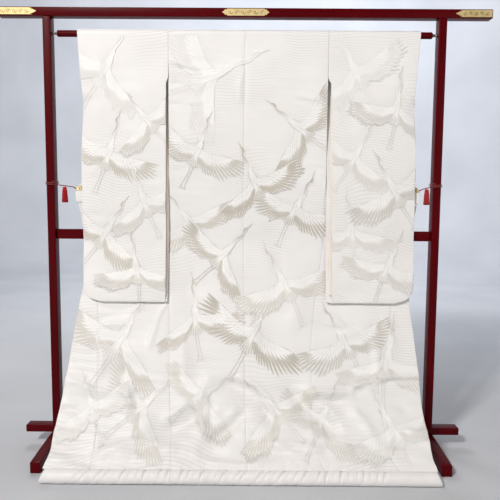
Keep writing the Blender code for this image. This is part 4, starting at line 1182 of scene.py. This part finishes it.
def easeEdges(piece, width, segments=4, limit=30):
    ease = piece.modifiers.new("Eased", "BEVEL")
    ease.width, ease.segments, ease.limit_method = width, segments, "ANGLE"
    ease.angle_limit = math.radians(limit)
    makeActive(piece)
    bpy.ops.object.modifier_apply(modifier=ease.name)


def plankStart(name, node):
    # a plank at the solid's place, left in edit mode with all of it selected
    low, high = boxOf(node)
    bpy.ops.object.select_all(action="DESELECT")
    bpy.ops.mesh.primitive_cube_add(size=1, location=(low + high) / 2, scale=high - low)
    piece = bpy.context.active_object
    piece.name = name
    bpy.ops.object.transform_apply(location=True, rotation=False, scale=True)
    bpy.ops.object.mode_set(mode="EDIT")
    bpy.ops.mesh.select_all(action="SELECT")
    return piece, low, high


def plankPiece(name, node, edge=wood["round"]):
    # planed, its arrises eased before lacquering
    piece = plankStart(name, node)[0]
    bpy.ops.mesh.bevel(offset=edge, segments=wood["segments"], profile=0.5)
    bpy.ops.object.mode_set(mode="OBJECT")
    finishRigid(piece, urushi, node)


plankPiece("top_rail_lacquered", "top_rail")
plankPiece("middle_rail_lacquered", "middle_rail", wood["middleRound"])
plankPiece("lower_rail_lacquered", "lower_rail")
for word in words.values():
    plankPiece("post_lacquered_" + word, "post_" + word, wood["postRound"])


def footPiece(name, node):
    # a board on edge whose top falls away in a slow curve toward both tips
    piece, low, high = plankStart(name, node)
    middle, half = (low.y + high.y) / 2, (high.y - low.y) / 2
    for i in range(1, wood["footCuts"]):
        y = low.y + 2 * half * i / wood["footCuts"]
        bpy.ops.mesh.select_all(action="SELECT")
        bpy.ops.mesh.bisect(plane_co=(0, y, 0), plane_no=(0, 1, 0))
    bpy.ops.object.mode_set(mode="OBJECT")
    for vert in piece.data.vertices:
        if vert.co.z > 0.03:
            t = max(0.0, (abs(vert.co.y - middle) / half - 0.1) / 0.9) ** 1.4
            vert.co.z = wood["footMiddle"] + (wood["footTip"] - wood["footMiddle"]) * t
    easeEdges(piece, wood["round"], wood["segments"], 40)
    finishRigid(piece, urushi, node)


for word in words.values():
    footPiece("foot_lacquered_" + word, "foot_" + word)


def turnedPiece(name, sides, radius, long, place, rotation, ease, segments, node=None):
    bpy.ops.object.select_all(action="DESELECT")
    bpy.ops.mesh.primitive_cylinder_add(vertices=sides, radius=radius, depth=long, location=place, rotation=rotation)
    piece = bpy.context.active_object
    piece.name = name
    easeEdges(piece, ease, segments)
    finishRigid(piece, urushi, node)


low, high = boxOf("hanging_rod")
turnedPiece("hanging_rod_lacquered", wood["rodSides"], garment["rodRadius"], high.x - low.x, (low + high) / 2,
            (0, math.pi / 2, 0), wood["rodRound"], 4, "hanging_rod")
# nickel-grey turned steel: fine rings round the axis and a soft bright edge
turnedSteel, tree, surface = newMaterial("turnedSteel", Metallic=1.0, Roughness=0.32)
surface.inputs["Base Color"].default_value = linear("#8E8984")
place = addNode(tree, "TexCoord")
ring = addNode(tree, "TexWave", {"bands_direction": "X"}, {"Scale": 260.0, "Distortion": 0.4},
               {"Vector": (place, "Object")})
bump = addNode(tree, "Bump", values={"Strength": 0.15, "Distance": 0.0003}, links={"Height": (ring, "Fac")})
link(tree, surface, {"Normal": bump})
# the rod's metal necks: share of the length, then share of the radius
neckProfile = ((0.0, 0.82), (0.12, 1.0), (0.30, 1.0), (0.38, 0.72), (0.62, 0.72), (0.70, 1.0), (0.90, 1.0),
               (1.0, 0.9))
neckRadius = 0.0064
for word in words.values():
    low, high = boxOf("rod_neck_" + word)
    path = [(low.x + (high.x - low.x) * t, garment["shift"], garment["rodHeight"]) for t, _ in neckProfile]
    neck = tubePiece("rod_neck_turned_" + word, path, [neckRadius * r for _, r in neckProfile], turnedSteel, 32)
    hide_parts("rod_neck_" + word)
# pegs that pin the middle rail's tenons, seen as dots on the posts' faces
for side, word in words.items():
    place = (side * wood["postX"], garment["shift"] - wood["pegFace"], wood["pegHeight"])
    turnedPiece("tenon_peg_" + word, 24, wood["pegRadius"], 0.003, place, (math.pi / 2, 0, 0), wood["pegRound"], 3)
print("stand made")

# brass plates: engraved sheet brass, its scrolls darkened by patina
brass = {"bright": "#EAD9A6", "dark": "#B39A5C", "engraved": "#54431C", "worn": "#80693A"}


def brassMaterial():
    # rolled sheet brass, pale and worn, its ground punched with fine pits
    material, tree, surface = newMaterial("chasedBrass", Metallic=0.7)
    place = addNode(tree, "TexCoord")
    pits = addNode(tree, "TexVoronoi", values={"Scale": 620.0}, links={"Vector": (place, "Object")})
    tone = addNode(tree, "TexNoise", values={"Scale": 60.0, "Detail": 3.0}, links={"Vector": (place, "Object")})
    colour = addNode(tree, "Mix", {"data_type": "RGBA"}, {6: linear(brass["dark"]), 7: linear(brass["bright"])},
                     {0: tone})
    bump = addNode(tree, "Bump", values={"Strength": 0.45, "Distance": 0.0004}, links={"Height": pits})
    gloss = addNode(tree, "MapRange", values={"To Min": 0.42, "To Max": 0.6}, links={"Value": tone})
    link(tree, surface, {"Base Color": (colour, 2), "Normal": bump, "Roughness": gloss})
    return material


chasedBrass = brassMaterial()
# patina stays in the chased lines, so they read darker than the plate
engravedBrass = mottledMaterial("patinatedBrassLine", brass["engraved"], brass["worn"], 90.0, Metallic=0.6,
                                Roughness=0.5)
for name in ("brass_left", "brass_centre", "brass_right"):
    for slotPlace in nodes[name].material_slots:
        slotPlace.material = chasedBrass

# the scroll's run: height on the plate, way out of the post's face, pitch, and the lines' half widths
scroll = {"height": 1.7395, "face": 0.0251, "pitch": 0.021, "curlWide": 0.0008, "leafWide": 0.0010}


def chasedLine(shape, route, wide, y):
    # a thin ridge of two faces that swells in the middle of its run
    last = None
    for k, (px, pz) in enumerate(route):
        fat = wide * (0.45 + math.sin(math.pi * min(1.0, (k + 0.5) / len(route))) * 0.75)
        before, after = route[max(k - 1, 0)], route[min(k + 1, len(route) - 1)]
        nx, nz = after[0] - before[0], after[1] - before[1]
        size = math.hypot(nx, nz) or 1.0
        ax, az = -nz / size * fat, nx / size * fat
        ring = [shape.verts.new(spot) for spot in ((px + ax, y + 0.0004, pz + az), (px, y - 0.0003, pz),
                                                   (px - ax, y + 0.0004, pz - az))]
        if last:
            shape.faces.new((last[0], last[1], ring[1], ring[0]))
            shape.faces.new((last[1], last[2], ring[2], ring[1]))
        last = ring


def scrollWork(name, x0, x1):
    # a plain running scroll with leaves along the plate
    z0, y = scroll["height"], garment["shift"] - scroll["face"]
    shape, count = bmesh.new(), max(3, int(abs(x1 - x0) / scroll["pitch"]))
    pitch = (x1 - x0) / count
    for i in range(count):
        cx, up = x0 + pitch * (i + 0.5), 1 if i % 2 else -1
        curl, leaf = [], []
        for t in spread(0.0, 1.0, 16):
            turn = 2.2 * math.pi * t + 0.6
            curl.append((cx + (0.0072 - 0.0056 * t) * math.cos(turn),
                         z0 + up * (0.0066 - 0.0050 * t) * math.sin(turn)))
        for t in spread(0.0, 1.0, 8):
            leaf.append((cx + pitch * 0.5 * t, z0 + up * (0.0085 * math.sin(math.pi * t) - 0.002)))
        chasedLine(shape, curl, scroll["curlWide"], y)
        chasedLine(shape, leaf, scroll["leafWide"], y)
    bmesh.ops.recalc_face_normals(shape, faces=shape.faces)
    mesh = bpy.data.meshes.new(name)
    shape.to_mesh(mesh)
    shape.free()
    mesh.shade_smooth()
    mesh.materials.append(engravedBrass)
    piece = linkedPiece(name, mesh)
    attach(piece, "root")


scrollWork("brass_scroll_left", -0.950, -0.832)
scrollWork("brass_scroll_centre", -0.068, 0.077)
scrollWork("brass_scroll_right", 0.950, 0.842)
print("brass made")

# tie cords, tassels and clips
# the dark cord and tassel colours are the silk's darker tone and also the painted shade in the grooves between
# strands
redSilk = {"cord": "#9A3028", "cordDarkToneAndGrooveShade": "#5E1416", "tassel": "#D00A10", "tasselDarkToneAndGrooveShade": "#960A0E"}


def silkCordMaterial(name, light, dark, scale):
    # twisted filament silk: one noise gives the strands a light and a dark tone and also their bump, so the raised
    # strands are painted lighter and the grooves painted darker, the strands' own tone together with painted light
    # and painted shade; soft sheen along them
    material, tree, surface = newMaterial(name, **{"Roughness": 0.5, "Sheen Weight": 0.25, "Sheen Roughness": 0.35})
    uv = addNode(tree, "UVMap", {"uv_map": "UVMap"})
    stretch = addNode(tree, "Mapping", values={"Scale": (6, scale, 1)}, links={"Vector": uv})
    strand = addNode(tree, "TexNoise", values={"Scale": 3.0, "Detail": 2.0}, links={"Vector": stretch})
    # the colour follows the bump's height: painted shade in the grooves and painted light on the raised strands, over
    # the strands' own tone
    colour = addNode(tree, "Mix", {"data_type": "RGBA"}, {6: linear(dark), 7: linear(light)}, {0: strand})
    bump = addNode(tree, "Bump", values={"Strength": 0.4, "Distance": 0.0003}, links={"Height": strand})
    link(tree, surface, {"Base Color": (colour, 2), "Normal": bump})
    return material

cordSilk = silkCordMaterial("twistedSilkCord", redSilk["cord"], redSilk["cordDarkToneAndGrooveShade"], 900)
tasselSilk = silkCordMaterial("tasselSilk", redSilk["tassel"], redSilk["tasselDarkToneAndGrooveShade"], 400)
# moulded pale gold clip: smooth acetal with a warm pearl, its tone mottled at random
clipGold = mottledMaterial("pearlGoldAcetal", "#E6D6AE", "#C9B27C", 120.0, Roughness=0.30, Metallic=0.25)
# black rubber-tipped rivet: matt and dark
rivetBlack = mottledMaterial("blackRivet", "#0C0B0B", "#221F1E", 300.0, Roughness=0.45)


def ropePiece(name, path, radius, strands=3, pitch=0.009, sides=18):
    lay = strands * 2 * np.pi * np.arange(sides) / sides - 2 * np.pi * runAlong(path)[:, None] / pitch
    return tubePiece(name, path, radius * (0.90 + 0.13 * np.cos(lay)), cordSilk, sides)


def smoothPath(points, step):
    # a Catmull-Rom run through the points, resampled evenly
    p, out = np.array([points[0], *points, points[-1]], float), []
    t = np.linspace(0, 1, 12, endpoint=False)[:, None]
    for a, b, c, d in zip(p, p[1:], p[2:], p[3:]):
        out.append(0.5 * (2 * b + (c - a) * t + (2 * a - 5 * b + 4 * c - d) * t ** 2
                          + (3 * b - a - 3 * c + d) * t ** 3))
    out = np.concatenate(out + [p[-2:-1]])
    run = runAlong(out)
    even = np.linspace(0, run[-1], max(4, int(run[-1] / step)))
    return np.stack([np.interp(even, run, out[:, k]) for k in range(3)], -1)


# the cord's run is a rounded square round the post
fittings = {"cordRadius": 0.0020, "turns": 2, "steps": 16, "rise": 0.0062, "halfX": 0.0205, "halfY": 0.0300,
            "clipWall": 0.0012, "clipAbove": 0.010, "clipBelow": 0.009, "rivet": 0.0019}
tassel = {"long": 0.066, "strands": 150, "strandRadius": 0.00062, "neck": 0.0128, "skirtRadius": 0.0085,
          "flare": 1.42, "uneven": 0.0022,
          "head": ((0.0, 0.0030), (0.0015, 0.0058), (0.004, 0.0078), (0.0065, 0.0086), (0.009, 0.0082),
                   (0.0102, 0.0072), (0.0112, 0.0077), (0.0122, 0.0071), (0.013, 0.0077))}


def collarEdge(side, z, inside, out=0.0):
    return spreadPoint(side, np.asarray(z, float), read(pleat, "collar", z) - inside, out)


def clipPiece(side, word, height, clear):
    # a strip folded round the collar's edge, wider toward its foot, with a rivet on the viewer's side
    above, below = fittings["clipAbove"], fittings["clipBelow"]
    rows = []
    for z in np.linspace(height + above, height - below, 12):
        jaw = 0.010 + 0.014 * (height + above - z) / (above + below)
        ring = [collarEdge(side, z, jaw * k, clear) for k in np.linspace(1, 0, 7)]
        ring += [collarEdge(side, z, -clear * math.cos(angle), clear * math.sin(angle))
                 for angle in np.radians([65, 40, 15, -15, -40, -65])]
        rows.append(ring + [collarEdge(side, z, jaw * k, -clear) for k in np.linspace(0, 1, 7)])
    points = np.array(rows)
    clip = gridPiece("clip_folded_" + word, points, points[..., [0, 2]], clipGold, fittings["clipWall"])
    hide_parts("clip_" + word)
    outside = clear + fittings["clipWall"] / 2
    faces = [collarEdge(side, height - 0.002, 0.010, out) for out in (-outside, outside)]
    bpy.ops.object.select_all(action="DESELECT")
    bpy.ops.mesh.primitive_uv_sphere_add(segments=20, ring_count=12, radius=fittings["rivet"],
                                         location=min(faces, key=lambda spot: spot[1]))
    rivet = bpy.context.active_object
    rivet.name = "clip_rivet_" + word
    rivet.scale = (1, 0.5, 1)
    finishRigid(rivet, rivetBlack, None)


def tasselPiece(side, word, top):
    # a wound head and a skirt of strands
    dice = random.Random(31 + side)
    path = [top - [0, 0, 0.0012 + down] for down, _ in tassel["head"]]
    parts = [tubePiece("tassel_head_" + word, path, [radius for _, radius in tassel["head"]], tasselSilk, 28)]
    for k in range(tassel["strands"]):
        turn, r = 2.399963 * k, tassel["skirtRadius"] * math.sqrt((k + 0.5) / tassel["strands"])
        aside = np.array([r * math.cos(turn), r * math.sin(turn), 0.0])
        long = tassel["long"] - 0.0142 - dice.uniform(0, tassel["uneven"])
        flare = tassel["flare"] + dice.uniform(-0.10, 0.10)
        strand = [top + aside * (1 + (flare - 1) * t ** 0.7) - [0, 0, tassel["neck"] + long * t]
                  for t in (0.0, 0.2, 0.5, 0.8, 1.0)]
        parts.append(tubePiece("strand", strand, tassel["strandRadius"], tasselSilk, 5))
    makeActive(parts[0])
    for part in parts:
        part.select_set(True)
    bpy.ops.object.join()
    piece = bpy.context.active_object
    piece.name = "tassel_silk_" + word
    bpy.ops.object.select_all(action="DESELECT")
    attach(piece, "root")
    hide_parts("tassel_" + word)


def tiePieces(side, word):
    height = garment["clipHeight"]
    clear = garment["collarWall"] / 2 + 0.0003 + fittings["clipWall"] / 2 + 0.0006
    clipPiece(side, word, height, clear)
    edge = collarEdge(side, height, 0.0)
    apexX, startY = abs(edge[0]) + clear + fittings["clipWall"], edge[1] - garment["shift"]
    route = [(apexX + 0.0003, startY, height), (apexX + 0.006, startY - 0.003, height - 0.001),
             (apexX + 0.012, startY - 0.006, height + 0.004)]
    for step in range(fittings["steps"] * fittings["turns"] + 3):
        share = step / fittings["steps"]
        turn = math.radians(-157.5) + 2 * math.pi * share
        size = (math.cos(turn) ** 4 + math.sin(turn) ** 4) ** -0.25
        route.append((wood["postX"] + fittings["halfX"] * size * math.cos(turn),
                      fittings["halfY"] * size * math.sin(turn), height + 0.013 + fittings["rise"] * share))
    route = np.array(route) * [side, 1, 1] + [0, garment["shift"], 0]
    cord = ropePiece("tie_cord_twisted_" + word, smoothPath(route, 0.0011), fittings["cordRadius"])
    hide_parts("tie_cord_" + word)
    tasselPiece(side, word, (route[2] + route[3]) / 2 - [0, 0, fittings["cordRadius"]])


for side, word in words.items():
    tiePieces(side, word)
print("ties made")


for side, word in words.items():
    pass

# floor, light and camera
studio = {"floor": "#BFC1C6", "floorLight": "#DADCDF", "sky": "#E6EBF2", "skyStrength": 0.16, "sides": 64,
          "sink": 0.0004, "sweep": 1.6, "wall": 7.2}


def stageFloor():
    # floor and wall in one round sweep, wide enough to hold every camera
    sweep, wall, sides = studio["sweep"], studio["wall"], studio["sides"]
    profile = [(1.5, 0.0), (3.0, 0.0), (4.4, 0.0), (wall - sweep, 0.0)]
    profile += [(wall - sweep + sweep * math.sin(a), sweep - sweep * math.cos(a))
                for a in np.radians([15, 30, 45, 60, 75, 90])]
    profile += [(wall, 2.6), (wall, 4.4)]
    around = 2 * np.pi * np.arange(sides) / sides
    points = [(0.0, 0.0, -studio["sink"])]
    for r, z in profile:
        points += [(r * math.cos(a), r * math.sin(a), z - studio["sink"]) for a in around]
    faces = [(0, 1 + j, 1 + (j + 1) % sides) for j in range(sides)]
    for i in range(len(profile) - 1):
        for j in range(sides):
            a, b = 1 + i * sides + j, 1 + i * sides + (j + 1) % sides
            faces.append((a, a + sides, b + sides, b))
    mesh = bpy.data.meshes.new("floor_sweep")
    mesh.from_pydata(points, [], faces)
    mesh.shade_smooth()
    # pale painted board, matt
    mesh.materials.append(mottledMaterial("mattPaleBoard", studio["floor"], studio["floorLight"], 1.5, Roughness=0.8))
    linkedPiece("floor_sweep", mesh)


stageFloor()


def addLight(name, place, aim, size, power, colour="#FFFFFF"):
    lamp = bpy.data.lights.new(name, "AREA")
    lamp.shape, lamp.size, lamp.size_y, lamp.energy = "RECTANGLE", size, size, power
    lamp.color = linear(colour)[:3]
    light = linkedPiece(name, lamp)
    light.location = place
    light.rotation_euler = (Vector(aim) - Vector(place)).to_track_quat("-Z", "Y").to_euler()
    light.visible_camera = False


addLight("keyLight", (-2.9, -5.2, 5.0), (0, -0.1, 0.8), 0.9, 352, "#FFFAF6")
addLight("fillLight", (3.5, -3.3, 2.0), (0, -0.1, 0.8), 1.6, 28, "#FFF8F1")
addLight("topLight", (0.2, -1.6, 3.9), (0, -0.1, 0.3), 1.2, 5, "#FFF9F2")
addLight("backdropLight", (0.6, 3.6, 4.4), (0.5, 7.2, 1.2), 3.0, 185, "#F0F5FF")
addLight("rearLight", (-1.3, 2.8, 3.6), (0, 0.2, 0.9), 1.6, 40)
world = bpy.data.worlds.new("studio")
bpy.context.scene.world = world
world.use_nodes = True
background = world.node_tree.nodes["Background"]
background.inputs["Color"].default_value = linear(studio["sky"])
background.inputs["Strength"].default_value = studio["skyStrength"]
bpy.context.scene.view_settings.view_transform = "Standard"  # plain tones, so white silk stays white

# the camera stands where the photograph was taken from
cameraValues = {"place": (0.035, -2.44755, 1.07), "down": 5.833, "turn": -0.183, "roll": 0.405, "lens": 44.64}


def placeCamera():
    data = bpy.data.cameras.new("camera")
    data.lens, data.sensor_width, data.clip_end = cameraValues["lens"], 36.0, 60.0
    camera = linkedPiece("camera", data)
    yaw, pitch, roll = (math.radians(cameraValues[key]) for key in ("turn", "down", "roll"))
    forward = Vector((math.sin(yaw) * math.cos(pitch), math.cos(yaw) * math.cos(pitch), -math.sin(pitch)))
    right = Vector((math.cos(yaw), -math.sin(yaw), 0))
    up = right.cross(forward)
    side = math.cos(roll) * right + math.sin(roll) * up
    up = math.cos(roll) * up - math.sin(roll) * right
    camera.location = cameraValues["place"]
    camera.rotation_euler = Matrix((side, up, -forward)).transposed().to_euler()
    bpy.context.scene.camera = camera


placeCamera()

print("scene made")
